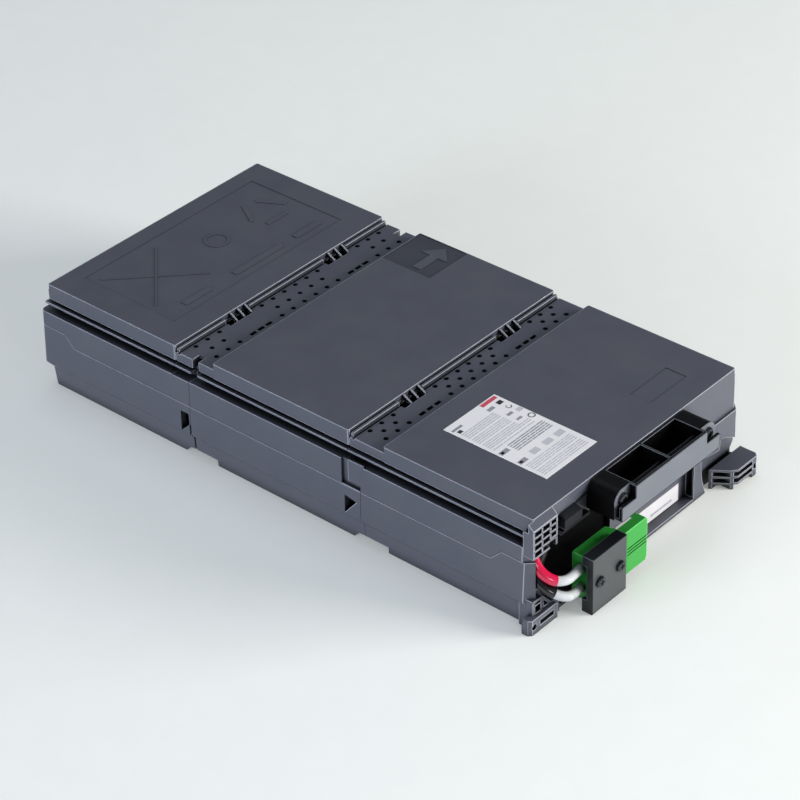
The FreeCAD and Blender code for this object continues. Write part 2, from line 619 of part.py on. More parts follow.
# ---- covers --------------------------------------------------------------------------------------
def cover_shell():
    shell = side_block().cut(below_seam())
    shell = shell.cut(box(-FAR, FAR, -FAR, FRONT_Y, 0, HEIGHT))
    shell = shell.fuse(top_block())
    shell = shell.cut(side_hollow())
    return shell.cut(top_hollow())


def plain_marks_rear():
    """Shallow panel with plain moulded figures: a cross, a ring, a bar triangle and three bars."""
    y = REAR_Y + PANEL_MARGIN
    half_panel = TOP_WIDTH / 2 - PANEL_MARGIN
    panel = box(-half_panel, half_panel, y, BACK_Y - 15.4, HEIGHT - RELIEF, HEIGHT + 1)
    middle = y + 54
    figures = []
    for turn in (45, -45):
        bar = box(-41, 41, -0.8, 0.8, HEIGHT - RELIEF - 0.1, HEIGHT)
        bar.rotate(Vector(0, 0, 0), Vector(0, 0, 1), turn)
        bar.translate(Vector(-55, middle, 0))
        figures.append(bar)
    ring = rod(Vector(10, middle, HEIGHT - RELIEF - 0.1), Vector(0, 0, 1), RELIEF + 0.1, 10)
    figures.append(ring.cut(rod(Vector(10, middle, 0), Vector(0, 0, 1), FAR, 8)))
    for turn in (0, 120, 240):
        bar = box(-13, 11, -15.5, -12, HEIGHT - RELIEF - 0.1, HEIGHT)
        bar.rotate(Vector(0, 0, 0), Vector(0, 0, 1), turn)
        bar.translate(Vector(64, middle, 0))
        figures.append(bar)
    for x, half in ((-55, 14), (10, 26), (64, 14)):
        figures.append(box(x - half, x + half, y + 8, y + 14, HEIGHT - RELIEF - 0.1, HEIGHT))
    return panel.cut(figures[0].fuse(figures[1:]))


def plain_marks_middle():
    """Shallow square with an outlined arrow that points to the right."""
    half = TOP_WIDTH / 2
    y = REAR_BAND_Y
    panel = box(half - 44, half - 0.8, y - 47, y - 1, HEIGHT - RELIEF, HEIGHT + 1)
    points = [(-17, 4), (-17, -4), (3, -4), (3, -13), (17, 0), (3, 13), (3, 4)]
    arrow = prism_z([(x + half - 22, v + y - 30) for x, v in points], HEIGHT - RELIEF - 0.1, HEIGHT)
    return panel.cut(arrow)


def plain_marks_front():
    """A bare shallow rectangle where a plate could go."""
    return box(41.5, 83.5, FRONT_Y + 20.5, FRONT_Y + 38.5, HEIGHT - RELIEF, HEIGHT + 1)


def lead_hood():
    """Small hood on the cover's front, over the place where the leads turn."""
    left = LEFT_X + 31
    face = FRONT_Y - 6.0
    hood = prism_x([(FRONT_Y, 78), (face + 2, 76.5), (face, 74.5), (face, 67.5), (FRONT_Y, 67.5)],
                   left, left + 18.5)
    hood = hood.makeFillet(2.5, [e for e in hood.Edges if e.Vertexes[0].Point.z > 75
                                 and e.Vertexes[1].Point.z > 75 and abs(e.Vertexes[0].Point.x
                                 - e.Vertexes[1].Point.x) < 0.1])
    shelf = box(left - 1, left + 29, FRONT_Y - 4, FRONT_Y, 62.5, 65)
    return [hood, shelf]


def stow_window():
    """The open strip over the recess, under the hood and the handle, where the leads tuck in."""
    return box(RECESS_LEFT + 2.5, WINDOW_RIGHT, FRONT_Y - 1, FRONT_Y + WALL + 1, SEAM_END_Z - 1, 62)


def cover_space(index):
    """The room of one cover: the joints step forward where the side walls begin."""
    tops = [-FAR, MIDDLE_Y - SKIN_OUT - JOINT_GAP, REAR_Y - SKIN_OUT - JOINT_GAP, FAR]
    walls = [-FAR, JOINT_FRONT_Y, JOINT_REAR_Y, FAR]
    start = JOINT_GAP if index else 0
    high = box(-FAR, FAR, tops[index] + start, tops[index + 1], SIDE_Z, FAR)
    low = box(-FAR, FAR, walls[index] + start, walls[index + 1], 0, SIDE_Z - JOINT_GAP)
    link = box(-FAR, FAR, tops[index] + start, walls[index + 1], 0, FAR)
    return high.fuse([low, link])


def make_covers():
    shell = cover_shell()
    shadow = below_seam()
    shadow.translate(Vector(0, 0, SEAM_LINE))
    half = SIDE_WIDTH / 2
    shell = shell.cut(shadow.cut(box(-half, half, -FAR, SILL_BACK_Y - SEAM_LINE, -1, HEIGHT)))
    for side in both(prism_z([(half + 1, FRONT_Y + CORNER_CUT + 1), (half - CORNER_CUT - 1, FRONT_Y - 1),
                              (half + 1, FRONT_Y - 1)], SEAM_Z, SIDE_Z)):
        shell = shell.cut(side)
    core = corner_core()
    core = core.cut(corner_core_cuts()[0].fuse(corner_core_cuts()[1:]))
    shell = shell.fuse([core] + lead_hood())
    wire = LEAD_DIAMETER / 2 + FIT
    well = box(POSITIVE_WELL_X - wire - 1, NEGATIVE_WELL_X + wire, WELL_Y - wire, BLOCK_Y,
               SEAM_Z, wire_level() + wire)
    shell = shell.cut(well.fuse([cable_opening(), stow_window()]))
    covers = [shell.common(cover_space(index)) for index in range(3)]
    for index, (y0, y1) in enumerate(((FRONT_BAND_Y, MIDDLE_Y), (REAR_BAND_Y, REAR_Y))):
        cuts = band_cuts(y0, y1)
        covers[index] = covers[index].fuse(band_lip(y1)).cut(cuts[0].fuse(cuts[1:]))
        covers[index + 1] = covers[index + 1].cut(cuts[-1]).fuse(hook_fins(y1))
    for pocket in tab_pocket():
        covers[1] = covers[1].cut(pocket)
    covers[0] = covers[0].fuse(tab_plate())
    slots = rail_slot()
    covers[1] = covers[1].cut(slots[0].fuse(slots[1]))
    covers[0] = covers[0].cut(plain_marks_front())
    covers[1] = covers[1].cut(plain_marks_middle())
    covers[2] = covers[2].cut(plain_marks_rear())
    covers[0] = covers[0].cut(handle_holes())
    return [single(cover) for cover in covers]


# ---- blocks, pads and wiring ---------------------------------------------------------------------
def block_places():
    """Left and right rows, front to back: (side, y0)."""
    step = BLOCK_LENGTH + BLOCK_GAP
    return [(side, BLOCK_Y + index * step) for side in (-1, 1) for index in range(3)]


def make_block(side, y0):
    """A sealed block on its side: a case with a lid that faces the wiring channel."""
    inner = CHANNEL_WIDTH / 2
    lid = 8.0
    case = box(inner + lid, inner + BLOCK_HEIGHT, y0 + 0.6, y0 + BLOCK_LENGTH - 0.6,
               BLOCK_Z, BLOCK_Z + BLOCK_THICK)
    cap = box(inner, inner + lid, y0, y0 + BLOCK_LENGTH, BLOCK_Z, BLOCK_Z + BLOCK_THICK)
    block = case.fuse(cap).removeSplitter()
    return block if side > 0 else mirrored(block)


def tab_places():
    """(side, y) of each block's two terminals, in the order of block_places()."""
    places = []
    for side, y0 in block_places():
        places += [(side, y0 + TAB_FROM_END), (side, y0 + BLOCK_LENGTH - TAB_FROM_END)]
    return places


def make_tabs():
    tabs = []
    inner = CHANNEL_WIDTH / 2
    z = BLOCK_Z + TAB_Z
    for side, y in tab_places():
        tab = box(inner - TAB_LENGTH, inner, y - TAB_THICK / 2, y + TAB_THICK / 2,
                  z - TAB_WIDTH / 2, z + TAB_WIDTH / 2)
        tabs.append(tab if side > 0 else mirrored(tab))
    return Part.makeCompound(tabs)


def make_receptacles():
    """Flag receptacles on the terminals, each with an upright crimp barrel."""
    flags = []
    inner = CHANNEL_WIDTH / 2
    z = BLOCK_Z + TAB_Z
    for side, y in tab_places():
        sleeve = box(inner - TAB_LENGTH - 0.4, inner - 0.5, y - 1.6, y + 1.6, z - 4, z + 4)
        slot = box(inner - TAB_LENGTH - 1, inner, y - TAB_THICK / 2, y + TAB_THICK / 2,
                   z - TAB_WIDTH / 2, z + TAB_WIDTH / 2)
        barrel = rod(Vector(WIRE_X, y, z + 3.9), Vector(0, 0, 1), BARREL_TOP - TAB_Z - 3.9, 2.3)
        flag = sleeve.cut(slot).fuse(barrel).removeSplitter()
        flags.append(flag if side > 0 else mirrored(flag))
    return Part.makeCompound(flags)


def route(points):
    """Straight runs joined by tangent arcs, and the radius of each arc."""
    edges = []
    radii = []
    start = points[0]
    for before, corner, after in zip(points, points[1:], points[2:]):
        back = before - corner
        ahead = after - corner
        turn = math.pi - back.getAngle(ahead)
        reach = 0.45 * min(back.Length, ahead.Length)
        radius = reach / math.tan(turn / 2)
        radii.append(radius)
        enter = corner + back.normalize() * reach
        leave = corner + ahead.normalize() * reach
        inward = (back + ahead).normalize()
        middle = corner + inward * (radius / math.cos(turn / 2) - radius)
        edges.append(Part.makeLine(start, enter))
        edges.append(Part.Arc(enter, middle, leave).toShape())
        start = leave
    edges.append(Part.makeLine(start, points[-1]))
    return Part.Wire(edges), radii


def tube(points, diameter):
    """A round wire along a route."""
    vectors = [Vector(*point) for point in points]
    path, radii = route(vectors)
    direction = vectors[1] - vectors[0]
    ring = Part.Wire(Part.makeCircle(diameter / 2, vectors[0], direction))
    solid = path.makePipeShell([ring], True, True)
    return solid, path.Length, radii


def wire_level():
    """Height of the thick wires that lie over the front blocks."""
    return BLOCK_Z + BLOCK_THICK + 1.3 + LEAD_DIAMETER / 2


def make_jumpers():
    """Five wires that join the six blocks in series, each in a flat loop over the channel."""
    low = BLOCK_Z + BARREL_TOP
    knee = low + JUMPER_KNEE
    high = low + JUMPER_TOP
    left = [y for side, y in tab_places() if side < 0]
    jumpers = []
    for first, second in ((left[1], left[2]), (left[3], left[4])):
        for x in (-WIRE_X, WIRE_X):
            jumpers.append([(x, first, low), (x, first, knee), (x, first + JUMPER_BEND, high),
                            (x, second - JUMPER_BEND, high), (x, second, knee), (x, second, low)])
    y = left[5]
    jumpers.append([(-WIRE_X, y, low), (-WIRE_X, y, knee), (-WIRE_X / 2, y, high),
                    (WIRE_X / 2, y, high), (WIRE_X, y, knee), (WIRE_X, y, low)])
    return [tube(points, WIRE_DIAMETER)[0] for points in jumpers]


def make_feeds():
    """Fuse holder and the thick wires that run over the front block to the front corner."""
    low = BLOCK_Z + BARREL_TOP
    z = wire_level()
    y = BLOCK_Y + TAB_FROM_END
    fuse_y = y + FUSE_BACK
    fuse_left = FUSE_X - FUSE_LENGTH / 2
    fuse_right = FUSE_X + FUSE_LENGTH / 2
    holder = rod(Vector(fuse_left, fuse_y, z), Vector(1, 0, 0), FUSE_LENGTH, LEAD_DIAMETER / 2 + 0.7)
    from_block = [(WIRE_X, y, low), (WIRE_X, y, z), (WIRE_X - 4, fuse_y - 3, z), (-WIRE_X - 2, fuse_y, z),
                  (fuse_right, fuse_y, z)]
    to_front = [(fuse_left, fuse_y, z), (fuse_left - FEED_BEND + 1, fuse_y, z),
                (POSITIVE_WELL_X, WELL_Y + FEED_BEND + 2, z),
                (POSITIVE_WELL_X, WELL_Y, z), (POSITIVE_WELL_X, WELL_Y, WELL_Z)]
    side = NEGATIVE_WELL_X + 1
    negative = [(-WIRE_X, y, low), (-WIRE_X, y, z), (-3 * WIRE_X, y - 1, z), (side / 2, y - 4, z),
                (side * 0.79, y - 3, z), (side, WELL_Y + FEED_BEND, z), (NEGATIVE_WELL_X, WELL_Y, z),
                (NEGATIVE_WELL_X, WELL_Y, WELL_Z)]
    return {"fuse_holder": holder, "fused_wire": tube(from_block, LEAD_DIAMETER)[0],
            "positive_feed": tube(to_front, LEAD_DIAMETER)[0], "negative_feed": tube(negative, LEAD_DIAMETER)[0]}


# The leads leave the front corner downwards, swing forward and turn into the connector.
CONNECTOR_Y = -CAP_FRONT + CAP_FACE + CONNECTOR_THICK / 2
POSITIVE_Z = CONNECTOR_LIFT + CONNECTOR_HEIGHT / 2 + CONTACT_PITCH / 2
NEGATIVE_Z = POSITIVE_Z - CONTACT_PITCH
LEAD_END_X = CONNECTOR_RIGHT - CONNECTOR_LENGTH
POSITIVE_ROUTE = [(POSITIVE_WELL_X, WELL_Y, WELL_Z), (POSITIVE_WELL_X, WELL_Y, WELL_Z - 7.8),
                  (LEFT_X + 9.8, FRONT_Y + 4.4, 53.2), (LEFT_X + 9.2, FRONT_Y + 0.6, 46.5),
                  (LEFT_X + 9.8, FRONT_Y - 5.8, 41.5), (LEFT_X + 13.5, FRONT_Y - 12.2, 36.8),
                  (LEFT_X + 20.7, FRONT_Y - 15.6, 34.2), (LEAD_END_X - 10, CONNECTOR_Y, POSITIVE_Z),
                  (LEAD_END_X, CONNECTOR_Y, POSITIVE_Z)]
NEGATIVE_ROUTE = [(NEGATIVE_WELL_X, WELL_Y, WELL_Z), (NEGATIVE_WELL_X, WELL_Y, WELL_Z - 8.7),
                  (LEFT_X + 19.4, WELL_Y, 49.3), (LEFT_X + 13.2, WELL_Y, 41.5),
                  (LEFT_X + 9.6, FRONT_Y + 0.6, 35.5), (LEFT_X + 10.2, FRONT_Y - 6.6, 30.3),
                  (LEFT_X + 14, FRONT_Y - 12.9, 25), (LEFT_X + 21, FRONT_Y - 16.2, 19.8),
                  (LEAD_END_X - 10, CONNECTOR_Y, NEGATIVE_Z), (LEAD_END_X, CONNECTOR_Y, NEGATIVE_Z)]


def make_leads():
    positive, positive_length, positive_radii = tube(POSITIVE_ROUTE, LEAD_DIAMETER)
    negative, negative_length, negative_radii = tube(NEGATIVE_ROUTE, LEAD_DIAMETER)
    section = math.pi * LEAD_DIAMETER ** 2 / 4
    for name, solid, length, radii in (("positive", positive, positive_length, positive_radii),
                                       ("negative", negative, negative_length, negative_radii)):
        print(name, "lead", round(length, 1), "mm, volume ratio", round(solid.Volume / section / length, 4),
              "radii", [round(radius, 1) for radius in radii])
    return positive, negative


# ---- connector -----------------------------------------------------------------------------------
def connector_frame():
    """Left, right, front, back, low and high faces of the connector housing."""
    front = -CAP_FRONT + CAP_FACE
    return (CONNECTOR_RIGHT - CONNECTOR_LENGTH, CONNECTOR_RIGHT, front, front + CONNECTOR_THICK,
            CONNECTOR_LIFT, CONNECTOR_LIFT + CONNECTOR_HEIGHT)


def make_connector():
    """A two-pole housing: wires enter at the left, the mating face looks right."""
    left, right, front, back, low, high = connector_frame()
    middle_z = (low + high) / 2
    housing = box(left, right, front, back, low, high)
    bevel = 4.0
    for z, up in ((low, 1), (high, -1)):
        housing = housing.cut(prism_y([(right - bevel * 0.4, z), (right + 1, z), (right + 1, z + up * bevel)],
                                      front - 1, back + 1))
    for index in (-1, 0, 1):
        z = middle_z + index * 2.6
        housing = housing.cut(box(right - 22, right + 1, front - 1, front + 0.7, z - 0.5, z + 0.5))
    step = right - CONNECTOR_STEP_LENGTH
    thin = back - CONNECTOR_STEP
    housing = housing.cut(prism_z([(step - 2.5, back + 1), (step, thin), (right + 1, thin), (right + 1, back + 1)],
                                  low - 1, high + 1))
    blade_y = front + BLADE_IN
    for side in (-1, 1):
        z = middle_z + side * CONTACT_PITCH / 2
        housing = housing.cut(box(right - 14, right + 1, blade_y - 3.4, blade_y + 3.4, z - 4.6, z + 4.6))
        housing = housing.cut(box(step - 7, right - 13, blade_y - 1, blade_y + 1, z - 3.2, z + 3.2))
        housing = housing.cut(rod(Vector(left - 1, (front + back) / 2, z), Vector(1, 0, 0),
                                  step - 3 - left, LEAD_DIAMETER / 2))
    for x in screw_places():
        housing = housing.cut(rod(Vector(x, front - 1, middle_z), Vector(0, 1, 0), SCREW_BITE + 1, SCREW_RADIUS))
    return single(housing)


def screw_places():
    """Two screws through the cap into the housing, between the contacts."""
    middle = CAP_LEFT + CAP_WIDTH / 2
    return (middle - CAP_SCREW_SPACING / 2, middle + CAP_SCREW_SPACING / 2)


def make_contacts():
    left, right, front, back, low, high = connector_frame()
    y = (front + back) / 2
    step = right - CONNECTOR_STEP_LENGTH
    blade_y = front + BLADE_IN
    contacts = []
    for side in (1, -1):
        z = (low + high) / 2 + side * CONTACT_PITCH / 2
        barrel = rod(Vector(left + 6, y, z), Vector(1, 0, 0), step - left - 10.5, LEAD_DIAMETER / 2 - 0.1)
        blade = box(step - 7, right - 4, blade_y - 0.9, blade_y + 0.9, z - 3.1, z + 3.1)
        contacts.append(barrel.fuse(blade).removeSplitter())
    return contacts


def make_cap():
    """A shallow cap over the connector's front, held by two screws."""
    front = -CAP_FRONT
    right = CAP_LEFT + CAP_WIDTH
    cap = box(CAP_LEFT, right, front, front + CAP_DEPTH, 0, CAP_HEIGHT)
    inside = box(CAP_LEFT + CAP_RIM, right + 1, front + CAP_FACE, front + CAP_DEPTH + 1,
                 CAP_RIM, CAP_HEIGHT - CAP_RIM)
    notch = box(CAP_LEFT - 1, CAP_LEFT + CAP_RIM + 1, front + CAP_FACE + CAP_NOTCH - 3, front + CAP_DEPTH + 1,
                CONNECTOR_LIFT + 4, CONNECTOR_LIFT + CONNECTOR_HEIGHT - 4)
    cap = cap.cut(inside.fuse(notch))
    cap = cap.makeFillet(0.8, [e for e in cap.Edges if abs(e.BoundBox.YMax - front) < 0.01])
    middle_z = CONNECTOR_LIFT + CONNECTOR_HEIGHT / 2
    for x in screw_places():
        cap = cap.cut(rod(Vector(x, front - 1, middle_z), Vector(0, 1, 0), CAP_DEPTH, SCREW_RADIUS))
    return single(cap)


def screw(x, y, z, length):
    """A pan-head screw along +Y with its head in front of y and a cross in it."""
    shank = rod(Vector(x, y, z), Vector(0, 1, 0), length, SCREW_RADIUS)
    head = rod(Vector(x, y - SCREW_HEAD_HEIGHT, z), Vector(0, 1, 0), SCREW_HEAD_HEIGHT, SCREW_HEAD_RADIUS)
    head = head.makeFillet(SCREW_HEAD_HEIGHT * 0.45, [e for e in head.Edges
                                                      if abs(e.BoundBox.YMax - (y - SCREW_HEAD_HEIGHT)) < 0.01])
    face = y - SCREW_HEAD_HEIGHT - 1
    cross = box(x - 2.2, x + 2.2, face, face + 2.2, z - 0.45, z + 0.45)
    cross = cross.fuse(box(x - 0.45, x + 0.45, face, face + 2.2, z - 2.2, z + 2.2))
    return head.cut(cross).fuse(shank).removeSplitter()


def make_cap_screws():
    middle_z = CONNECTOR_LIFT + CONNECTOR_HEIGHT / 2
    return Part.makeCompound([screw(x, -CAP_FRONT, middle_z, CAP_FACE + SCREW_BITE) for x in screw_places()])


# ---- handle --------------------------------------------------------------------------------------
def handle_levels():
    top = HEIGHT - HANDLE_TOP_DROP
    return top, top - HANDLE_HEIGHT


def handle_lobe(inner, outer, y0, y1):
    """A screw lobe with a rounded outer top edge, from inner to outer across."""
    top, low = handle_levels()
    centre = (outer - LOBE_RADIUS, top - LOBE_RADIUS)
    reach = LOBE_RADIUS * math.sqrt(0.5)
    arc = Part.Arc(Vector(outer, y0, centre[1]), Vector(centre[0] + reach, y0, centre[1] + reach),
                   Vector(centre[0], y0, top)).toShape()
    corners = [Vector(centre[0], y0, top), Vector(inner, y0, top), Vector(inner, y0, low),
               Vector(outer, y0, low), Vector(outer, y0, centre[1])]
    edges = [arc] + [Part.makeLine(a, b) for a, b in zip(corners, corners[1:])]
    return Part.Face(Part.Wire(edges)).extrude(Vector(0, y1 - y0, 0))


def make_handle():
    """A box-shaped grip with two open finger pockets, and a screw lobe at each end behind a low flange."""
    top, low = handle_levels()
    back = FRONT_Y - SKIN_OUT
    front = FRONT_Y - HANDLE_DEPTH
    half = HANDLE_WIDTH / 2
    grip = HANDLE_GRIP_WIDTH / 2
    flange = HANDLE_FLANGE_WIDTH / 2
    lobe_y = front + LOBE_SETBACK
    shelf_y = front + HANDLE_SHELF_DEPTH
    handle = box(-grip, grip, front, back, low, top)
    parts = [box(-flange, flange, front, front + HANDLE_FLANGE_THICK, low, low + HANDLE_FLANGE_HEIGHT),
             box(-flange, flange, front, lobe_y + 1, low, low + HANDLE_WALL)]
    handle = handle.fuse(parts + both(handle_lobe(grip - 1, half, lobe_y, back)))
    for side in (-1, 1):
        x0, x1 = sorted((side * HANDLE_RIB / 2, side * (grip - HANDLE_RIB)))
        handle = handle.cut(box(x0, x1, shelf_y, back - HANDLE_WALL, low + HANDLE_WALL, top + 1))
        handle = handle.cut(box(x0, x1, front + HANDLE_WALL, shelf_y, top - HANDLE_SHELF_DROP, top + 1))
        handle = handle.cut(rod(Vector(side * HANDLE_SCREW_X, lobe_y - 1, handle_screw_z()), Vector(0, 1, 0),
                                HANDLE_DEPTH, SCREW_RADIUS))
    return single(handle)


def handle_screw_z():
    return HEIGHT - HANDLE_TOP_DROP - HANDLE_SCREW_DROP


def handle_screw_y():
    return FRONT_Y - HANDLE_DEPTH + LOBE_SETBACK


def handle_holes():
    """Screw holes and bosses' bores in the cover's front wall."""
    rods = [rod(Vector(side * HANDLE_SCREW_X, FRONT_Y - 1, handle_screw_z()), Vector(0, 1, 0),
                WALL + 2, SCREW_RADIUS) for side in (-1, 1)]
    return rods[0].fuse(rods[1])


def make_handle_screws():
    y = handle_screw_y()
    length = FRONT_Y + WALL - y + 2.0
    return Part.makeCompound([screw(side * HANDLE_SCREW_X, y, handle_screw_z(), length) for side in (-1, 1)])


# ---- labels and pads -----------------------------------------------------------------------------
def make_top_label():
    width, length = TOP_LABEL
    y = FRONT_BAND_Y - TOP_LABEL_FROM_BAND
    x = TOP_LABEL_CENTRE_X
    return box(x - width / 2, x + width / 2, y - length, y, HEIGHT, HEIGHT + LABEL_THICK)


def make_front_label():
    width, height = FRONT_LABEL
    z = LEDGE_THICK + 0.5
    right = RECESS_RIGHT - FRONT_LABEL_IN
    return box(right - width, right, RECESS_Y - LABEL_THICK, RECESS_Y, z, z + height)


def make_base_pads():
    """One foam sheet under each pair of blocks."""
    inner = CHANNEL_WIDTH / 2
    pads = []
    for side, y0 in block_places()[:3]:
        sheets = both(box(inner + FOAM_INSET, inner + BLOCK_HEIGHT - FOAM_INSET, y0 + FOAM_INSET,
                          y0 + BLOCK_LENGTH - FOAM_INSET, FLOOR_Z + WALL, BLOCK_Z))
        pads.append(Part.makeCompound(sheets))
    return pads


def make_top_pads():
    """Foam strips between the blocks and the raised covers."""
    top = BLOCK_Z + BLOCK_THICK
    pads = []
    for y0, y1 in COVER_SPANS:
        first = y0 + (FOAM_FRONT_MARGIN if y0 == FRONT_Y else FOAM_MARGIN)
        strips = both(box(CHANNEL_WIDTH / 2 + FOAM_MARGIN, TOP_WIDTH / 2 - FOAM_MARGIN, first, y1 - FOAM_MARGIN,
                          top, LID_Z))
        pads.append(Part.makeCompound(strips))
    return pads


def main():
    os.makedirs("parts", exist_ok=True)
    pieces = {}
    names = ("front", "middle", "rear")
    for group, shapes in (("tray", make_trays()), ("cover", make_covers()),
                          ("base_foam", make_base_pads()), ("top_foam", make_top_pads())):
        for name, shape in zip(names, shapes):
            pieces[group + "_" + name] = shape
    for (side, y0), name in zip(block_places(), names + names):
        hand = "left" if side < 0 else "right"
        pieces["battery_" + hand + "_" + name] = make_block(side, y0)
    pieces["battery_terminals"] = make_tabs()
    pieces["spade_receptacles"] = make_receptacles()
    for index, jumper in enumerate(make_jumpers()):
        pieces["jumper_wire_" + str(index + 1)] = jumper
    pieces.update(make_feeds())
    pieces["positive_lead"], pieces["negative_lead"] = make_leads()
    pieces["connector_housing"] = make_connector()
    pieces["connector_contact_positive"], pieces["connector_contact_negative"] = make_contacts()
    pieces["connector_cap"] = make_cap()
    pieces["connector_cap_screws"] = make_cap_screws()
    pieces["pull_handle"] = make_handle()
    pieces["handle_screws"] = make_handle_screws()
    pieces["top_label"] = make_top_label()
    pieces["front_label"] = make_front_label()
    for name, shape in pieces.items():
        shape.exportStep("parts/" + name + ".step")
        print(name, len(shape.Solids), round(shape.Volume / 1000, 2), shape.isValid())


main()
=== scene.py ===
"""The looks of a rack battery cartridge: three covered bays, a pull handle and a power connector.

Sizes named in capitals are in millimetres unless their comment says otherwise.
"""
import json
import math

import bmesh
import bpy
from mathutils import Matrix, Vector


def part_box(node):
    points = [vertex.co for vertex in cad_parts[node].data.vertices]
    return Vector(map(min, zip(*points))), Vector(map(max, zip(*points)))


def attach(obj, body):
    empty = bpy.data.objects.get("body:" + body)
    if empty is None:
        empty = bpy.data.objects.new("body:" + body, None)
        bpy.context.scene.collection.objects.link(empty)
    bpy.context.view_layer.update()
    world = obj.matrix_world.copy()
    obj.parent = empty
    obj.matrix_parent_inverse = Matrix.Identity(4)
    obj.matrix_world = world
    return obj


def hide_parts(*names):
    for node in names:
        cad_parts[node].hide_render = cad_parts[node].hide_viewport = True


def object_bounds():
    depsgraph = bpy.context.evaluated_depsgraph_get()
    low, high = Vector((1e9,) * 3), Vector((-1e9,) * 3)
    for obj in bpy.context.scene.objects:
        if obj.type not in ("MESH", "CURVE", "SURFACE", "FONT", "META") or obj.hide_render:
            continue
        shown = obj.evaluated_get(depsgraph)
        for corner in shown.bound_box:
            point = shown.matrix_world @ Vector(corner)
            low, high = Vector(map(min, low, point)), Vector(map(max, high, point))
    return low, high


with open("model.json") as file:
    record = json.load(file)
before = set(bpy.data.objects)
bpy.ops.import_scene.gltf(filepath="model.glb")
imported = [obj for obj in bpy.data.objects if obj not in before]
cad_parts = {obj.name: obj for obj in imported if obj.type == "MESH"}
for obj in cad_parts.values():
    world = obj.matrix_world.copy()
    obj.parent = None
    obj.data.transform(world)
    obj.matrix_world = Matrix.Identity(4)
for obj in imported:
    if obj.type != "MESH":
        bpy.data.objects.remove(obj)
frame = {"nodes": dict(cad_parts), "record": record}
nodes = frame["nodes"]
cad_box = [list(corner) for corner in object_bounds()]
scene = bpy.context.scene
MM = 0.001                         # one millimetre in the scene's metres


# ---- camera --------------------------------------------------------------------------------------
AZIMUTH, ELEVATION, ROLL = -0.8357987, 0.6069508, -0.0344013    # radians
CAMERA_PLACE = (-1.28205, -1.17372, 1.22860)                    # metres
SENSOR, LENS = 36, 129.812

ahead = Vector((-math.sin(AZIMUTH) * math.cos(ELEVATION), math.cos(AZIMUTH) * math.cos(ELEVATION),
                -math.sin(ELEVATION)))
level = Vector((math.cos(AZIMUTH), math.sin(AZIMUTH), 0))
above = level.cross(ahead)
right = math.cos(ROLL) * level + math.sin(ROLL) * above
up = -math.sin(ROLL) * level + math.cos(ROLL) * above
camera_data = bpy.data.cameras.new("camera")
camera_data.sensor_width = SENSOR
camera_data.lens = LENS
camera_data.clip_end = 20
camera = bpy.data.objects.new("camera", camera_data)
camera.matrix_world = Matrix((*zip(right, up, -ahead, CAMERA_PLACE), (0, 0, 0, 1)))
scene.collection.objects.link(camera)
scene.camera = camera


# ---- materials -----------------------------------------------------------------------------------
DRIFT_SPAN = (0.35, 0.7)           # noise values over which one colour passes into the other
POLISH_SPAN = (0.3, 0.7)           # noise values over which the roughness passes from low to high
PAINTED_SHADE_SPAN = (0.25, 0.85)        # open sky over which the painted shade colour passes into the skin's
SKY_SAMPLES = 8
GRAIN_HEIGHT = 0.2
COAT_ROUGHNESS = 0.08


def linear(hex_code):
    """An sRGB hex colour as linear RGBA."""
    out = []
    for i in (0, 2, 4):
        c = int(hex_code[i:i + 2], 16) / 255
        out.append(c / 12.92 if c <= 0.04045 else ((c + 0.055) / 1.055) ** 2.4)
    return out + [1.0]


def add(tree, kind, values=None, links=None, **settings):
    """A shader node by its short name, or another node by its full one, with what it is set to."""
    node = tree.nodes.new(kind if "Node" in kind else "ShaderNode" + kind)
    for key, value in settings.items():
        setattr(node, key, value)
    for key, value in (values or {}).items():
        node.inputs[key].default_value = value
    for key, source in (links or {}).items():
        tree.links.new(source, node.inputs[key])
    return node


